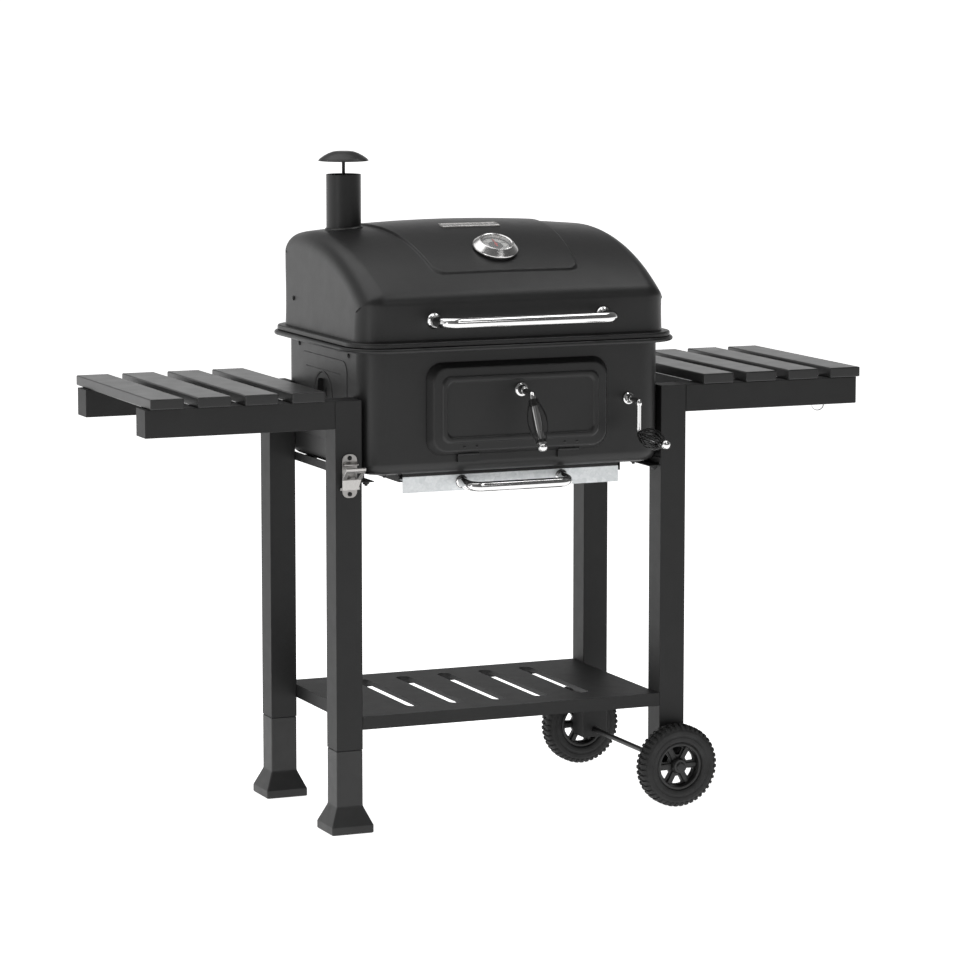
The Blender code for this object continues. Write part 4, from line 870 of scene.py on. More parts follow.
def make_side_panels():
    """Shallow pressed panel on each end, round the damper, with a slit above it."""
    for side, sx in (("left", -1), ("right", 1)):
        bottom, top = 0.6900, 0.8420
        turn = FACE_RIGHT if sx > 0 else FACE_RIGHT @ Matrix.Rotation(math.pi, 4, "Y")
        place = Matrix.Translation((sx * (BOX_HALF_X - 0.0004), BODY_Y, (bottom + top) / 2)) @ turn
        half_z = (top - bottom) / 2
        rings = [(0.1200, half_z, 0.022, 0.0), (0.1193, half_z - 0.0007, 0.0215, 0.0011),
                 (0.1182, half_z - 0.0018, 0.0205, 0.0016)]
        panel = loft(rings, 8, place)
        x = sx * BOX_HALF_X
        hole = cylinder_mesh((x - 0.01, BODY_Y, VENT_Z), (x + 0.01, BODY_Y, VENT_Z), VENT_RADIUS + 0.0025, 48)
        slit = box_mesh((x - 0.004, BODY_Y - 0.085, top - 0.0260), (x + 0.004, BODY_Y + 0.085, top - 0.0246))
        add("end_panel_%s" % side, boolean(panel, [hole, slit]), BODY_COAT, "trolley", (), 50.0)
        ring = lathe(softened([(0.0462, 0.0004), (0.0466, 0.0020), (0.0485, 0.0024), (0.0498, 0.0016),
                               (0.0500, 0.0004), (0.0462, 0.0004)], 0.0004), 64)
        ring.transform(at((sx * BOX_HALF_X, BODY_Y, VENT_Z), (sx, 0, 0)))
        add("damper_ring_%s" % side, ring, BODY_COAT, "trolley", ())


def make_dampers():
    for side, sx in (("left", -1), ("right", 1)):
        x = sx * (BOX_HALF_X + 0.0003)
        disc = lathe(softened([(0.0, 0.0008), (0.0440, 0.0008), (0.0450, 0.0004), (0.0450, 0.0), (0.0, 0.0)],
                              0.0002), 64, at((x, BODY_Y, VENT_Z), (sx, 0, 0)))
        disc = boolean(disc, [joined(kidney_holes(x, math.radians(60)))])
        body = "damper_%s" % side
        add("damper_disc_%s" % side, disc, BODY_COAT, body, ("damper_%s" % side,))
        tab = prism(outline(0.0150, 0.0058, 0.0040, 5), -0.0010, 0.0010)
        # upright fin: long side vertical, standing out from the disc
        upright = Matrix(((0, sx, 0, sx * (BOX_HALF_X + 0.0062)), (0, 0, 1, BODY_Y), (1, 0, 0, VENT_Z + 0.021),
                          (0, 0, 0, 1)))
        tab.transform(upright)
        add("damper_tab_%s" % side, bevelled(tab, 0.0004, 2), BODY_COAT, body, ())
        rivet = dome_head(0.0048, 0.0022)
        rivet.transform(at((sx * (BOX_HALF_X + 0.0011), BODY_Y, VENT_Z), (sx, 0, 0)))
        add("damper_rivet_%s" % side, rivet, SCREW, body, ())


def make_grates():
    for side in ("left", "right"):
        refine("cooking_grate_%s" % side, 0.0011, ENAMEL, 2)
    refine("charcoal_tray", 0.0005, ENAMEL, 2)
    refine("lift_rack", 0.0006, AXLE, 1)
    teeth = []
    low, high = local_box("lift_rack")
    pitch = 0.0035
    for index in range(27):
        z = high.z - 0.004 - index * pitch
        tooth = prism([(0.0, -0.0012), (-0.0013, -0.0005), (-0.0013, 0.0005), (0.0, 0.0012)], 0.0, 0.0068)
        tooth.transform(Matrix(((1, 0, 0, CRANK_X + 0.0105), (0, 0, 1, FACE + 0.0071), (0, 1, 0, z), (0, 0, 0, 1))))
        teeth.append(tooth)
    add("rack_teeth", joined(teeth), AXLE, "charcoal_carriage", ())


def make_firebox_screws():
    pivot = dome_head(0.0044, 0.0030)
    places = []
    for sx in (-1, 1):
        places.append(((sx * BOX_HALF_X, PIVOT_BOX[0], PIVOT_BOX[1]), (sx, 0, 0), 0))
        places.append(((sx * BOX_HALF_X, -0.128, 0.853), (sx, 0, 0), 0))
    scatter("firebox_rivets", pivot, places, BLACK_SCREW, "trolley")
    for side in ("left", "right"):
        refine("lid_hinge_%s" % side, 0.0005, BODY_COAT, 2)
        refine("door_hinge_%s" % side, 0.0004, BODY_COAT, 2)
    head = cross_head(0.0036, 0.0020)
    places = []
    for sx in (-1, 1):
        for dx in (-0.011, 0.011):
            places.append(((sx * 0.200 + dx, BODY_Y + BOX_HALF_Y + RIM_OVERHANG + 0.0026, 0.8565),
                           (0, 1, 0), 20))
    scatter("rear_hinge_screws", head, places, SCREW, "trolley")


# ---------------------------------------------------------------- lid
def dome_height(y):
    return LID_APEX - LID_DOME_RADIUS + math.sqrt(LID_DOME_RADIUS ** 2 - (y - LID_APEX_Y) ** 2)


def lid_height(y):
    z = dome_height(y)
    return z + LID_CROWN * smooth((z - 0.945) / 0.112)


def dome_normal(y):
    step = 0.004
    rise = lid_height(y + step) - lid_height(y - step)
    return Vector((0.0, -rise, 2 * step)).normalized()


def lid_section():
    """Fine polyline of the end section with its running length: [(s, y, z)]."""
    front, rear = BODY_Y - LID_HALF_Y, BODY_Y + LID_HALF_Y
    front_top, rear_top = dome_height(front), dome_height(rear)
    corner_a = rounded_path([(front, LID_FLANGE_TOP, 0), (front, front_top, 0),
                             (front + 0.020, dome_height(front + 0.020), 0)], 0.026, 16)[1:-1]
    corner_b = rounded_path([(rear - 0.030, dome_height(rear - 0.030), 0), (rear, rear_top, 0),
                             (rear, LID_FLANGE_TOP, 0)], 0.030, 16)[1:-1]
    points = [(front, LID_FLANGE_TOP + 0.0005)]
    points += [(p.x, p.y) for p in corner_a]
    y_from, y_to = points[-1][0], corner_b[0].x
    for step in range(1, 160):
        y = y_from + (y_to - y_from) * step / 160
        points.append((y, dome_height(y)))
    points += [(p.x, p.y) for p in corner_b]
    points.append((rear, LID_FLANGE_TOP + 0.0005))
    section, length = [], 0.0
    for index, point in enumerate(points):
        if index:
            length += math.dist(point, points[index - 1])
        section.append((length, *point))
    return section


def section_at(section, s):
    """Position at a running length."""
    s = min(max(s, 0.0), section[-1][0])
    index = 1
    while index < len(section) - 1 and section[index][0] < s:
        index += 1
    (s0, y0, z0), (s1, y1, z1) = section[index - 1], section[index]
    t = (s - s0) / max(s1 - s0, 1e-9)
    return y0 + (y1 - y0) * t, z0 + (z1 - z0) * t


def spaced(start, end, step):
    count = max(1, round((end - start) / step))
    return [start + (end - start) * i / count for i in range(count)]


PANEL_FRONT_Y, PANEL_RISE, PANEL_STEP, PANEL_CORNER = -0.1700, 0.0034, 0.0032, 0.022


def lid_mesh():
    section = lid_section()
    total = section[-1][0]
    front, rear = BODY_Y - LID_HALF_Y, BODY_Y + LID_HALF_Y
    panel_start = next(s for s, y, z in section if y > PANEL_FRONT_Y and z > 0.95)
    panel_end = next(s for s, y, z in section if y > 0.21 and z < 0.960)
    corner_start = next(s for s, y, z in section if z > 0.915)
    rear_corner = next(s for s, y, z in section if y > 0.185)

    def near(mark):
        return [mark + d for d in (-0.0060, -0.0030, -0.0018, -0.0006, 0.0006, 0.0018, 0.0030, 0.0055,
                                   0.0090, 0.0130, 0.0180, 0.0240)]

    rows = spaced(0.0, corner_start, 0.012) + spaced(corner_start, panel_start - 0.009, 0.0042)
    rows += near(panel_start) + spaced(panel_start + 0.032, rear_corner, 0.0105)
    rows += spaced(rear_corner, panel_end - 0.030, 0.0045)
    rows += [2 * panel_end - s for s in reversed(near(panel_end))]
    rows += spaced(panel_end + 0.012, total, 0.011) + [total]
    places = [section_at(section, s) for s in rows]
    normals = []
    for s in rows:
        y0, z0 = section_at(section, s - 0.0022)
        y1, z1 = section_at(section, s + 0.0022)
        along = Vector((y1 - y0, z1 - z0)).normalized()
        normals.append(Vector((-along.y, along.x)))

    def panel_half(y, s):
        reach = (y - PANEL_FRONT_Y) / (LID_APEX_Y - PANEL_FRONT_Y)
        return 0.140 + 0.029 * min(max(reach, 0.0), 1.22)

    def rise(x, s, half):
        qx = abs(x) - half + PANEL_CORNER
        qs = max(panel_start - s, s - panel_end) + PANEL_CORNER
        outside = math.hypot(max(qx, 0.0), max(qs, 0.0)) + min(max(qx, qs), 0.0) - PANEL_CORNER
        return PANEL_RISE * smooth(0.5 - outside / PANEL_STEP)

    round_steps = 10

    def build(shape):
        grid = []
        for row, s in enumerate(rows):
            y, z = places[row]
            edge = 0.050 - 0.016 * smooth((z - 0.900) / 0.140)
            half = LID_HALF_X - LID_TAPER * (z - LID_FLANGE_TOP) - edge
            panel = panel_half(y, s)
            spots = [0.0, 0.030, 0.060, 0.085, 0.105]
            spots += [panel - d for d in (0.024, 0.018, 0.013, 0.009, 0.0055, 0.0030, 0.0018, 0.0006)]
            spots += [panel + d for d in (0.0006, 0.0018, 0.0030, 0.0060, 0.012)]
            last = spots[-1]
            spots += [last + (half - last) * t for t in (0.25, 0.5, 0.75, 1.0)]
            line = [(x, 0.0) for x in spots]
            line += [(half + edge * math.sin(math.radians(90 * t / round_steps)),
                      edge * (1 - math.cos(math.radians(90 * t / round_steps))))
                     for t in range(1, round_steps + 1)]
            full = [(-x, inset) for x, inset in reversed(line[1:])] + line
            verts = []
            for x, inset in full:
                crown = LID_CROWN * smooth((z - 0.945) / 0.112) * max(0.0, 1 - (x / 0.290) ** 2)
                lift = rise(x, s, panel) - inset
                at_y, at_z = y + normals[row].x * lift, z + normals[row].y * lift
                if inset > 0.001:
                    # the rounded end follows the section drawn smaller, which has sharp corners
                    at_y = min(max(at_y, front + inset), rear - inset)
                    reach = (LID_DOME_RADIUS - inset) ** 2 - (at_y - LID_APEX_Y) ** 2
                    at_z = min(at_z, LID_APEX - LID_DOME_RADIUS + math.sqrt(reach))
                verts.append(shape.verts.new((x, at_y, at_z + crown)))
            grid.append(verts)
        for lower, upper in zip(grid, grid[1:]):
            for index in range(len(lower) - 1):
                shape.faces.new((lower[index], lower[index + 1], upper[index + 1], upper[index]))
        shape.faces.new([line[0] for line in grid])
        shape.faces.new([line[-1] for line in reversed(grid)])
        base = list(grid[0]) + list(reversed(grid[-1]))
        flange(shape, base)
        bmesh.ops.recalc_face_normals(shape, faces=shape.faces)

    return mesh_from(build)


def flange(shape, base):
    """Lip round the lid's foot: a small cove, a flat and a rolled edge."""
    lip = [(0.0012, -0.0001), (0.0030, -0.0004), (0.0125, -0.0006), (0.0141, -0.0012),
           (0.0149, -0.0026), (0.0150, -0.0045), (0.0150, -0.0085)]
    previous = base
    for grow, drop in lip:
        ring = []
        for vertex in base:
            x, y = vertex.co.x, vertex.co.y - BODY_Y
            core = Vector((min(max(x, 0.050 - LID_HALF_X), LID_HALF_X - 0.050),
                           min(max(y, 0.050 - LID_HALF_Y), LID_HALF_Y - 0.050)))
            outward = (Vector((x, y)) - core).normalized()
            ring.append(shape.verts.new((x + outward.x * grow, vertex.co.y + outward.y * grow,
                                         LID_FLANGE_TOP + 0.0005 + drop)))
        for index in range(len(base)):
            after = (index + 1) % len(base)
            shape.faces.new((ring[index], ring[after], previous[after], previous[index]))
        previous = ring


def make_lid():
    shell = solidified(lid_mesh(), 0.0016)
    hole = cylinder_mesh((CHIMNEY_X, CHIMNEY_Y, 1.00), (CHIMNEY_X, CHIMNEY_Y, 1.10), CHIMNEY_RADIUS + 0.0004, 64)
    seat = Vector((0.0, DIAL_Y, lid_height(DIAL_Y)))
    normal = dome_normal(DIAL_Y)
    stem = cylinder_mesh(seat - normal * 0.02, seat + normal * 0.02, 0.0053)
    add("lid_shell", boolean(shell, [hole, stem]), BODY_COAT, "lid", ("lid",), 42.0)
    straps = []
    for sx in (-1, 1):
        x = sx * 0.200
        strap = bevelled(box_mesh((x - 0.015, 0.2200, 0.8795), (x + 0.015, HINGE_Y, 0.8845)), 0.0008, 2)
        sleeve = lathe(softened([(0.0032, 0.018), (0.0055, 0.018), (0.0055, -0.018), (0.0032, -0.018),
                                 (0.0032, 0.018)], 0.0004), 32, at((x, HINGE_Y, HINGE_Z), (1, 0, 0)))
        straps += [strap, sleeve]
    add("lid_straps", joined(straps), BODY_COAT, "lid", ())
    bolts = [((sx * (LID_HALF_X - LID_TAPER * (PIVOT_LID[1] - LID_FLANGE_TOP)), PIVOT_LID[0], PIVOT_LID[1]),
              (sx, 0, 0), 0) for sx in (-1, 1)]
    scatter("lid_pivot_bolts", dome_head(0.0046, 0.0034), bolts, BLACK_SCREW, "lid")
    make_lid_handle()
    make_chimney()
    make_thermometer()
    make_name_plate()
    make_warming_rack()


def escutcheon(radius, height, bore):
    """Cupped chrome rosette, seat at z = 0."""
    return lathe(softened([(bore, 0.0), (radius, 0.0), (radius, height * 0.30), (radius * 0.90, height * 0.62),
                           (radius * 0.72, height), (bore * 1.10, height * 0.86), (bore, height * 0.70),
                           (bore, 0.0)], radius * 0.07, 4), 48)


def bar_handle(half, wall, reach, z_wall, z_bar, radius, bend):
    path = rounded_path([(-half, wall, z_wall), (-half, wall - reach, z_bar), (half, wall - reach, z_bar),
                         (half, wall, z_wall)], bend, 12)
    return sweep(path, radius, 32)


def make_lid_handle():
    wall = BODY_Y - LID_HALF_Y - 0.0003
    bar = bar_handle(LID_HANDLE_HALF, wall, LID_HANDLE_REACH, LID_HANDLE_Z, LID_HANDLE_Z, 0.0095, 0.024)
    add("lid_handle_bar", bar, CHROME, "lid", ("lid_handle",))
    places = [((sx * LID_HANDLE_HALF, wall, LID_HANDLE_Z), (0, -1, 0), 0) for sx in (-1, 1)]
    scatter("lid_handle_rosettes", escutcheon(0.0150, 0.0075, 0.0094), places, CHROME, "lid")


def make_chimney():
    r, t = CHIMNEY_RADIUS, 0.0015
    profile = softened([(r, CHIMNEY_BOTTOM), (r - t, CHIMNEY_BOTTOM), (r - t, CHIMNEY_TOP), (r, CHIMNEY_TOP),
                        (r, CHIMNEY_BOTTOM)], 0.0005, 2)
    place = Matrix.Translation((CHIMNEY_X, CHIMNEY_Y, 0.0))
    add("chimney_pipe", lathe(profile, 80, place), CHIMNEY_COAT, "lid", ("chimney_tube",))
    strip = box_mesh((CHIMNEY_X - r + t, CHIMNEY_Y - 0.006, CHIMNEY_TOP - 0.0100),
                     (CHIMNEY_X + r - t, CHIMNEY_Y + 0.006, CHIMNEY_TOP - 0.0085))
    hole = cylinder_mesh((CHIMNEY_X, CHIMNEY_Y, CHIMNEY_TOP - 0.03), (CHIMNEY_X, CHIMNEY_Y, CHIMNEY_TOP), 0.0033)
    add("chimney_bridge", boolean(strip, [hole]), CHIMNEY_COAT, "lid", ())
    ring = lathe(softened([(r, 0.0035), (r + 0.0012, 0.0030), (r + 0.0035, 0.0006), (r + 0.0040, -0.0045),
                           (r, -0.0060), (r, 0.0035)], 0.0006), 80)
    # sealing bead where the pipe leaves the sloping lid
    seat_z = dome_height(CHIMNEY_Y) + LID_CROWN * (1 - (CHIMNEY_X / 0.290) ** 2)
    lean = (CHIMNEY_X * -2 * LID_CROWN / 0.290 ** 2)
    ring.transform(Matrix.Translation((CHIMNEY_X, CHIMNEY_Y, seat_z)) @ Matrix.Rotation(-math.atan(lean), 4, "Y"))
    add("chimney_collar", ring, CHIMNEY_COAT, "lid", ())
    cap = [(0.0, CAP_TOP), (0.0140, CAP_TOP - 0.0002), (0.0200, CAP_TOP - 0.0012), (0.0280, CAP_TOP - 0.0042),
           (0.0360, CAP_TOP - 0.0085), (0.0430, CAP_TOP - 0.0133), (CAP_RADIUS, CAP_RIM),
           (CAP_RADIUS - 0.0004, CAP_RIM - 0.0011), (0.0440, CAP_RIM - 0.0012), (0.0300, CAP_RIM + 0.0060),
           (0.0120, CAP_RIM + 0.0125), (0.0080, CAP_RIM + 0.0128), (0.0075, CAP_RIM + 0.0070),
           (0.0030, CAP_RIM + 0.0070), (0.0030, CHIMNEY_TOP - 0.044), (0.0020, CHIMNEY_TOP - 0.045),
           (0.0, CHIMNEY_TOP - 0.045)]
    add("chimney_hat", lathe(softened(cap, 0.0010, 3), 72, place), CHIMNEY_COAT, "chimney_cap",
        ("chimney_cap",))


def dial_frame(height=0.0):
    """Matrix from dial coordinates: x across, y up the slope, z along the dial's normal."""
    normal = dome_normal(DIAL_Y)
    across = Vector((1.0, 0.0, 0.0))
    matrix = Matrix((across, normal.cross(across), normal)).transposed().to_4x4()
    matrix.translation = Vector((0.0, DIAL_Y, lid_height(DIAL_Y))) + normal * height
    return matrix


def number_mesh(text, size):
    curve = bpy.data.curves.new("number", "FONT")
    curve.body = text
    curve.size = size
    curve.align_x = "CENTER"
    curve.align_y = "CENTER"
    curve.extrude = 0.00008
    curve.resolution_u = 3
    item = bpy.data.objects.new("number", curve)
    bpy.context.scene.collection.objects.link(item)
    mesh = evaluated(item)
    bpy.data.curves.remove(curve)
    return mesh


def make_thermometer():
    seat = dial_frame()
    bezel = [(0.0, 0.0112), (0.0270, 0.0112), (0.0270, 0.0178), (0.0278, 0.0192), (0.0298, 0.0200),
             (0.0318, 0.0196), (0.0330, 0.0184), (0.0400, 0.0112), (0.0416, 0.0094), (0.0420, 0.0080),
             (0.0420, 0.0064), (0.0408, 0.0052), (0.0385, 0.0045), (0.0370, 0.0022), (0.0048, 0.0022),
             (0.0048, -0.0340), (0.0036, -0.0370), (0.0, -0.0370)]
    add("thermometer_case", lathe(softened(bezel, 0.0007, 4), 96, seat), BEZEL, "lid", ("thermometer",))
    gasket = lathe(softened([(0.0352, 0.0), (0.0395, 0.0), (0.0395, 0.0030), (0.0352, 0.0030),
                             (0.0352, 0.0)], 0.0006), 72, seat)
    add("thermometer_gasket", gasket, BLACK_SCREW, "lid", ())
    face = lathe([(0.0, 0.01150), (0.0268, 0.01150), (0.0268, 0.01122), (0.0, 0.01122)], 72, seat)
    add("dial_plate", face, DIAL_WHITE, "lid", ())
    marks = [lathe([(0.0, 0.01170), (0.0135, 0.01170), (0.0135, 0.01150), (0.0, 0.01150)], 64),
             lathe([(0.0248, 0.01165), (0.0268, 0.01165), (0.0268, 0.01150), (0.0248, 0.01150),
                    (0.0248, 0.01165)], 72)]
    for index in range(33):
        angle = math.radians(-135 + 270 * index / 32)
        longer = 0.0045 if index % 4 == 0 else 0.0022
        width = 0.00055 if index % 4 == 0 else 0.00028
        mark = box_mesh((-width, 0.0250 - longer, 0.01150), (width, 0.0250, 0.01170))
        mark.transform(Matrix.Rotation(-angle, 4, "Z"))
        marks.append(mark)
    for index in range(5):
        angle = math.radians(-120 + 60 * index)
        digits = number_mesh(str(50 + 50 * index), 0.0062)
        digits.transform(Matrix.Translation((0.0175 * math.sin(angle), 0.0175 * math.cos(angle), 0.01165)))
        marks.append(digits)
    print_mesh = joined(marks)
    print_mesh.transform(seat)
    add("dial_print", print_mesh, DIAL_BLACK, "lid", (), weighted=False)
    pointer = prism([(-0.0007, -0.0080), (-0.0017, -0.0060), (-0.0014, 0.0), (-0.0008, 0.0180), (0.0, 0.0196),
                     (0.0008, 0.0180), (0.0014, 0.0), (0.0017, -0.0060), (0.0007, -0.0080)], 0.0134, 0.0142)
    hub = lathe(softened([(0.0, 0.0150), (0.0026, 0.0150), (0.0028, 0.0123), (0.0, 0.0123)], 0.0005), 32)
    needle = joined([bevelled(pointer, 0.0002, 1), hub])
    needle.transform(seat)
    add("dial_needle", needle, NEEDLE_RED, "needle", ("thermometer_needle",))
    lens = lathe([(0.0, 0.0188), (0.0100, 0.0187), (0.0200, 0.0181), (0.0268, 0.0172), (0.0268, 0.0164),
                  (0.0200, 0.0173), (0.0100, 0.0179), (0.0, 0.0180)], 72, seat)
    add("dial_lens", lens, GLASS, "lid", ())


def make_name_plate():
    """Plate with a raised frame round its field, and a row of raised bars on the field."""
    y = 0.013
    normal = dome_normal(y)
    across = Vector((1.0, 0.0, 0.0))
    place = Matrix((across, normal.cross(across), normal)).transposed().to_4x4()
    place.translation = Vector((0.0, y, lid_height(y))) + normal * (PANEL_RISE + 0.0002)
    body = loft([(0.0565, 0.0125, 0.003, -0.0015), (0.0570, 0.0130, 0.003, -0.0008), (0.0570, 0.0130, 0.003, 0.0014),
                 (0.0562, 0.0122, 0.0025, 0.0020), (0.0540, 0.0100, 0.0015, 0.0020), (0.0534, 0.0094, 0.001, 0.0012)],
                4, place)
    add("badge_plate", body, PLATE, "lid", ("name_plate",), 25.0)
    bars = []
    for index in range(9):
        x = (index - 4) * 0.0112
        bars.append(bevelled(box_mesh((x - 0.0042, -0.0058, 0.0010), (x + 0.0042, 0.0058, 0.0018)), 0.0003, 2))
    pattern = joined(bars)
    pattern.transform(place)
    add("badge_relief", pattern, BEZEL, "lid", (), 25.0)


def make_warming_rack():
    """Chromed wire rack that hangs in the lid."""
    lid_y, lid_z = PIVOT_LID
    free_y, free_z = PIVOT_BOX[0] + lid_y - HINGE_Y, PIVOT_BOX[1] + lid_z - HINGE_Z
    deck = free_z - 0.0100
    front, rear, half = free_y - 0.010, 0.1440, 0.2580
    frame_path = [Vector((x, y + (front + rear) / 2, deck))
                  for x, y in outline(half, (rear - front) / 2, 0.012, 6)]
    bars = [sweep(frame_path, 0.0025, 14, closed=True)]
    for index in range(29):
        x = (index - 14) * 0.0175
        bars.append(sweep([(x, front, deck), (x, rear, deck)], 0.0014, 10))
    for y in (front + 0.045, rear - 0.045):
        bars.append(sweep([(-half, y, deck - 0.0030), (half, y, deck - 0.0030)], 0.0018, 10))
    for sx in (-1, 1):
        for y, z in ((free_y, free_z), (lid_y, lid_z)):
            ear = sweep(rounded_path([(sx * (half - 0.001), y, deck), (sx * (half + 0.0020), y, deck + 0.004),
                                      (sx * (half + 0.0020), y, z)], 0.002, 4), 0.0022, 12)
            bars.append(ear)
        bars.append(cylinder_mesh((sx * (half + 0.001), lid_y, lid_z), (sx * 0.2955, lid_y, lid_z), 0.0029, 20))
        bars.append(lathe(softened([(0.0, 0.0015), (0.0060, 0.0015), (0.0060, -0.0015), (0.0, -0.0015)], 0.0004), 24,
                          at((sx * (half + 0.0020), lid_y, lid_z), (1, 0, 0))))
    add("warming_wires", joined(bars), CHROME, "warming_rack", ("warming_rack",))
    for side in ("left", "right"):
        refine("rack_link_%s" % side, 0.0005, CHROME, 2)


# ---------------------------------------------------------------- stoking door
def make_door():
    half_z = (DOOR_TOP - DOOR_BOTTOM) / 2
    sheet, front, bead = 0.0015, DOOR_DEPTH, 0.0032

    def ring(inset, depth):
        return (DOOR_HALF_X - inset, half_z - inset, max(0.0300 - inset * 0.55, 0.010), depth)

    def face(level):
        crest = level + bead
        return [ring(0.0360, level), ring(0.0345, level + 0.0003), ring(0.0327, crest - 0.0005),
                ring(0.0312, crest), ring(0.0268, crest), ring(0.0253, crest - 0.0005),
                ring(0.0235, level + 0.0003), ring(0.0220, level)]

    inner = face(front - sheet) + [ring(0.0118, front - sheet), ring(0.0098, front - sheet - 0.0008),
                                   ring(0.0088, front - 0.0040), ring(0.0018, 0.0)]
    outer = [ring(0.0004, 0.0), ring(0.0, 0.0005), ring(0.0, 0.0015), ring(0.0065, front - 0.0040),
             ring(0.0078, front - 0.0014), ring(0.0092, front - 0.0003), ring(0.0110, front)]
    outer += list(reversed(face(front)))
    middle = (DOOR_BOTTOM + DOOR_TOP) / 2
    place = Matrix.Translation((0.0, FACE - 0.0003, middle)) @ FACE_FRONT
    pan = loft(inner + outer, 12, place)
    axis_y = FACE - 0.0055
    notches = []
    for sx in (-1, 1):
        x = sx * DOOR_HINGE_X
        notches.append(box_mesh((x - 0.021, axis_y - 0.0045, DOOR_BOTTOM - 0.01),
                                (x + 0.021, FACE + 0.01, DOOR_HINGE_Z + 0.0050)))
    notches.append(cylinder_mesh((0.0, FACE - 0.03, LATCH_Z), (0.0, FACE + 0.01, LATCH_Z), 0.0070))
    add("door_pan", boolean(pan, [joined(notches)]), BODY_COAT, "stoking_door", ("stoking_door",),
        40.0)
    rivets = []
    for sx in (-1, 1):
        for dx in (-0.012, 0.012):
            rivets.append(((sx * DOOR_HINGE_X + dx, FACE - DOOR_DEPTH - 0.0002, 0.6915), (0, -1, 0), 0))
    scatter("door_rivets", dome_head(0.0028, 0.0014), rivets, BLACK_SCREW, "stoking_door")
    knuckles = []
    for sx in (-1, 1):
        x = sx * DOOR_HINGE_X
        for dx in (-0.0150, 0.0, 0.0150):
            knuckles.append(lathe(softened([(0.0, 0.0055), (0.0034, 0.0055), (0.0034, -0.0055), (0.0, -0.0055)],
                                           0.0005), 24, at((x + dx, axis_y, DOOR_HINGE_Z), (1, 0, 0))))
    add("door_knuckles", joined(knuckles), BLACK_SCREW, "trolley", ())
    make_door_handle()


def cage(base, along, length, widest, end_radius, wire, count, twist=0.0):
    """Wire spindle: bowed wires between two collars. Local z runs along the rod."""
    parts = []
    for index in range(count):
        path = []
        for step in range(25):
            t = step / 24
            radius = end_radius + (widest - end_radius) * math.sin(math.pi * t) ** 0.9
            angle = 2 * math.pi * index / count + math.radians(twist) * t
            path.append(Vector((radius * math.cos(angle), radius * math.sin(angle), length * t)))
        parts.append(sweep(path, wire, 10))
    for z in (0.0, length):
        rim = softened([(end_radius - 0.0012, z - 0.0030), (end_radius + 0.0014, z - 0.0030),
                        (end_radius + 0.0014, z + 0.0030), (end_radius - 0.0012, z + 0.0030),
                        (end_radius - 0.0012, z - 0.0030)], 0.0005)
        parts.append(lathe(rim, 32))
    mesh = joined(parts)
    mesh.transform(at(base, along))
    return mesh


def ball(centre, radius, direction=(0, 0, 1), squash=1.0):
    points = []
    for step in range(17):
        angle = math.pi * step / 16
        points.append((abs(radius * math.sin(angle)), radius * squash * math.cos(angle)))
    return lathe(points, 36, at(centre, direction))


def make_door_handle():
    front = FACE - DOOR_DEPTH
    elbow = Vector((0.0, FACE - 0.0660, LATCH_Z - 0.004))
    tip = Vector((0.0, FACE - 0.1130, 0.6970))
    along = (tip - elbow).normalized()
    path = rounded_path([(0.0, front + 0.0040, LATCH_Z), elbow, tip], 0.011, 10)
    rod = sweep(path, 0.0060, 28)
    boss = lathe(softened([(0.0, 0.0180), (0.0068, 0.0180), (0.0076, 0.0120), (0.0090, 0.0060),
                           (0.0120, 0.0042), (0.0130, 0.0022), (0.0130, 0.0006), (0.0, 0.0006)], 0.0009, 4),
                 48, at((0.0, front, LATCH_Z), (0, -1, 0)))
    knob = ball(tip, 0.0085, along, 0.85)
    sleeve = lathe(softened([(0.0, 0.0), (0.0074, 0.0), (0.0074, 0.0780), (0.0060, 0.0800), (0.0, 0.0800)],
                            0.0008), 32, at(elbow + along * 0.0200, along))
    add("door_handle_bar", joined([rod, boss, knob, sleeve]), CHROME, "door_handle", ("door_handle",))
    tongue = bevelled(box_mesh((-0.0060, FACE - 0.0080, LATCH_Z - 0.0060), (0.0060, FACE - 0.0060, LATCH_Z + 0.0300)),
                      0.0006, 2)
    shaft = cylinder_mesh((0.0, front - 0.0020, LATCH_Z), (0.0, FACE - 0.0060, LATCH_Z), 0.0052, 24)
    add("door_latch_tongue", joined([tongue, shaft]), AXLE, "door_handle", ())
    base = elbow + along * 0.0150
    wires = cage(base, along, 0.0760, 0.0185, 0.0078, 0.0009, 8)
    add("door_handle_cage", wires, WIRE, "door_handle", ("door_handle_grip",))
    ferrule = lathe(softened([(0.0062, -0.004), (0.0088, -0.004), (0.0092, 0.003), (0.0080, 0.010), (0.0062, 0.010),
                              (0.0062, -0.004)], 0.0008), 32, at(base, along))
    add("door_handle_ferrule", ferrule, BLACK_SCREW, "door_handle", ())


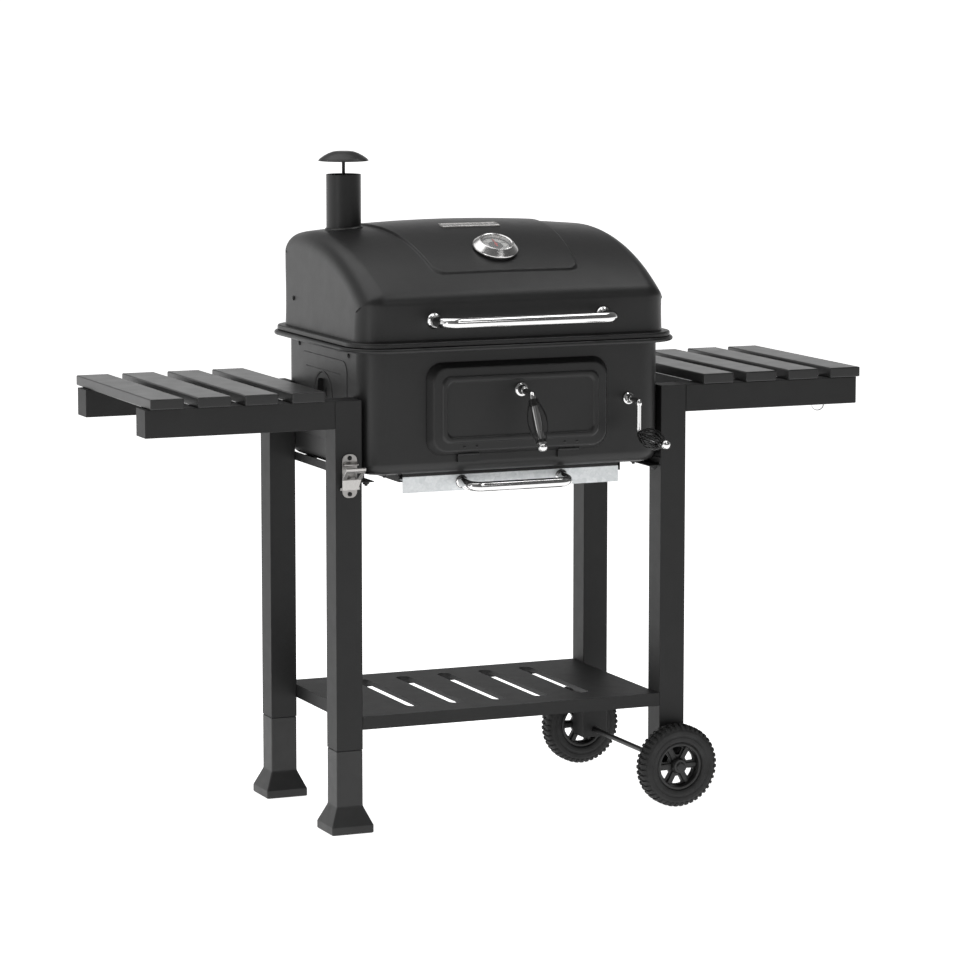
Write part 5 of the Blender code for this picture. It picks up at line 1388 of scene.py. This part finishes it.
# ---------------------------------------------------------------- crank
def make_crank():
    out, low = FACE - 0.0470, CRANK_Z - 0.0600
    tip = Vector((CRANK_X, FACE - 0.1600, CRANK_Z - 0.0670))
    bend = Vector((CRANK_X, out, low))
    path = rounded_path([(CRANK_X, FACE + 0.0150, CRANK_Z), (CRANK_X, out, CRANK_Z), bend, tip], 0.008, 10)
    along = (tip - bend).normalized()
    boss = lathe(softened([(0.0, 0.0150), (0.0048, 0.0150), (0.0056, 0.0095), (0.0085, 0.0058), (0.0108, 0.0040),
                           (0.0110, 0.0006), (0.0, 0.0006)], 0.0008, 4), 48,
                 at((CRANK_X, FACE, CRANK_Z), (0, -1, 0)))
    elbow = ball((CRANK_X, out, CRANK_Z - 0.0045), 0.0056, (0, 0, 1), 1.35)
    knob = ball(tip, 0.0080, along, 0.95)
    add("crank_bar", joined([sweep(path, 0.0040, 24), boss, elbow, knob]), CHROME, "crank", ("crank_rod",))
    pinion = []
    for index in range(18):
        tooth = prism([(-0.0011, 0.0082), (0.0011, 0.0082), (0.0005, 0.0100), (-0.0005, 0.0100)], -0.0034, 0.0034)
        tooth.transform(Matrix.Rotation(math.radians(20 * index), 4, "Z"))
        pinion.append(tooth)
    pinion.append(lathe([(0.0041, 0.0034), (0.0084, 0.0034), (0.0084, -0.0034), (0.0041, -0.0034),
                         (0.0041, 0.0034)], 36))
    gear = joined(pinion)
    gear.transform(at((CRANK_X, FACE + 0.0105, CRANK_Z), (0, 1, 0)))
    add("crank_pinion", gear, AXLE, "crank", ())
    base = bend + along * 0.0130
    wires = cage(base, along, 0.0860, 0.0180, 0.0068, 0.0010, 12)
    add("crank_cage", wires, WIRE, "crank_grip", ("crank_grip",))


# ---------------------------------------------------------------- ash drawer
def make_drawer():
    refine("ash_drawer", 0.0005, ZINC, 2)
    front = DRAWER_FRONT_Y
    bar = bar_handle(0.0980, front - 0.0003, 0.0460, 0.6240, 0.6190, 0.0090, 0.022)
    bar = boolean(bar, [box_mesh((-0.2, front - 0.0003, 0.58), (0.2, front + 0.05, 0.66))])
    add("drawer_handle_bar", bar, CHROME, "ash_drawer", ("drawer_handle",))
    places = [((sx * 0.0980, front - 0.0003, 0.6240), (0, -1, 0), 0) for sx in (-1, 1)]
    scatter("drawer_handle_rosettes", escutcheon(0.0122, 0.0055, 0.0088), places, CHROME, "ash_drawer")


# ---------------------------------------------------------------- small fittings
def make_fittings():
    refine("bottle_opener", 0.0008, NICKEL, 3, 25.0)
    low, high = local_box("bottle_opener")
    x = (low.x + high.x) / 2
    face = high.y - 0.0020
    places = [((x, face, z), (0, -1, 0), turn) for z, turn in ((0.6787, 12), (0.6140, 33))]
    scatter("opener_screws", cross_head(0.0042, 0.0026), places, BLACK_SCREW, "trolley")
    low, high = local_box("tool_hook")
    middle = (low + high) / 2
    path = [(low.x + 0.0011, middle.y, high.z)]
    for step in range(25):
        angle = math.pi * step / 24
        path.append((middle.x - 0.0125 * math.cos(angle), middle.y, 0.7284 - 0.0105 * math.sin(angle)))
    path.append((high.x - 0.0011, middle.y, high.z))
    add("hook_wire", sweep(path, 0.0013, 14), CHROME, "trolley", ("tool_hook",))


# ---------------------------------------------------------------- studio
def area_light(name, position, target, size, power, tint=(1.0, 1.0, 1.0)):
    light = bpy.data.lights.new(name, "AREA")
    light.shape = "RECTANGLE"
    light.size, light.size_y = size
    light.energy = power
    light.color = tint
    item = bpy.data.objects.new(name, light)
    item.location = position
    item.rotation_euler = (Vector(target) - Vector(position)).to_track_quat("-Z", "Y").to_euler()
    bpy.context.scene.collection.objects.link(item)
    return item


def make_world():
    """White surroundings for the camera; the object is lit by a softer, directional dome."""
    world = bpy.data.worlds.new("studio")
    bpy.context.scene.world = world
    world.use_nodes = True
    tree = world.node_tree
    tree.nodes.clear()
    new, link = tree.nodes.new, tree.links.new
    place = new("ShaderNodeTexCoord")
    split = new("ShaderNodeSeparateXYZ")
    link(place.outputs["Generated"], split.inputs[0])

    def graded(source, low, high, floor, ceiling):
        node = new("ShaderNodeMapRange")
        node.interpolation_type = "SMOOTHSTEP"
        node.inputs["From Min"].default_value = low
        node.inputs["From Max"].default_value = high
        node.inputs["To Min"].default_value = floor
        node.inputs["To Max"].default_value = ceiling
        link(source, node.inputs["Value"])
        return node.outputs["Result"]

    def combined(kind, first, second):
        node = new("ShaderNodeMath")
        node.operation = kind
        link(first, node.inputs[0])
        link(second, node.inputs[1])
        return node.outputs[0]

    behind = graded(split.outputs["Y"], 0.1, 0.9, 0.0, 1.05)
    low = graded(split.outputs["Z"], 0.10, 0.42, 1.0, 0.0)
    depth = graded(split.outputs["Y"], -0.6, 0.9, 0.10, 0.20)
    left = graded(split.outputs["X"], -1.0, 0.2, 0.10, 0.0)
    strength = combined("ADD", combined("ADD", depth, left), combined("MULTIPLY", behind, low))
    lit = new("ShaderNodeBackground")
    lit.inputs["Color"].default_value = (1.0, 1.0, 1.0, 1.0)
    link(strength, lit.inputs["Strength"])
    seen = new("ShaderNodeBackground")
    seen.inputs["Color"].default_value = (1.0, 1.0, 1.0, 1.0)
    seen.inputs["Strength"].default_value = 1.1
    path = new("ShaderNodeLightPath")
    mix = new("ShaderNodeMixShader")
    link(path.outputs["Is Camera Ray"], mix.inputs["Fac"])
    link(lit.outputs[0], mix.inputs[1])
    link(seen.outputs[0], mix.inputs[2])
    output = new("ShaderNodeOutputWorld")
    link(mix.outputs[0], output.inputs["Surface"])


def make_floor():
    """White paper sweep that glows softly, brightest behind the object."""
    n = Nodes("floor_paper")
    shade = n.ramp(n.noise(0.7, 3.0), grey(0.88), grey(0.92))
    split = n.new("ShaderNodeSeparateXYZ")
    n.link(n.place, split.inputs[0])
    glow = n.new("ShaderNodeMapRange", interpolation_type="SMOOTHSTEP")
    for key, value in (("From Min", -1.0), ("From Max", 1.6), ("To Min", 0.95), ("To Max", 1.05)):
        glow.inputs[key].default_value = value
    n.link(split.outputs["Y"], glow.inputs["Value"])
    material = n.set(Base_Color=shade, Roughness=0.9, Specular_IOR_Level=0.1,
                     Emission_Color=(1.0, 1.0, 1.0, 1.0), Emission_Strength=glow.outputs["Result"])

    def build(shape):
        bmesh.ops.create_grid(shape, x_segments=8, y_segments=8, size=30.0)

    mesh = mesh_from(build)
    mesh.transform(Matrix.Translation((0.0, 22.0, -0.0005)))
    mesh.materials.append(material)
    floor = bpy.data.objects.new("floor", mesh)
    bpy.context.scene.collection.objects.link(floor)


def make_camera():
    data = bpy.data.cameras.new("camera")
    data.sensor_width = 36.0
    data.lens = 151.15
    data.clip_end = 100.0
    camera = bpy.data.objects.new("camera", data)
    camera.location = Vector((-2.8707, -6.8093, 1.5994)) + ORIGIN
    camera.rotation_euler = (math.radians(82.284), 0.0, math.radians(-22.977))
    bpy.context.scene.collection.objects.link(camera)
    bpy.context.scene.camera = camera


def make_studio():
    make_world()
    make_floor()
    area_light("top_softbox", (-0.8, 0.6, 3.6), (0.0, 0.1, 0.5), (3.4, 3.0), 46.0)
    area_light("left_softbox", (-3.2, 0.9, 1.9), (0.0, 0.0, 0.7), (2.2, 2.2), 7.5)
    area_light("arc_strip", (0.95, -0.60, 3.2), (0.0, -0.2, 0.95), (3.0, 0.50), 14.0)
    area_light("left_card", (-2.6, -1.15, 0.9), (0.0, 0.0, 0.7), (0.5, 1.9), 5.0)
    area_light("front_fill", (0.8, -3.6, 2.6), (0.0, 0.0, 0.8), (1.4, 1.0), 8.0)
    make_camera()
    bpy.context.scene.view_settings.view_transform = "Standard"


random.seed(4)
make_trolley()
make_wheels()
make_firebox()
make_lid()
make_door()
make_crank()
make_drawer()
make_fittings()
make_studio()
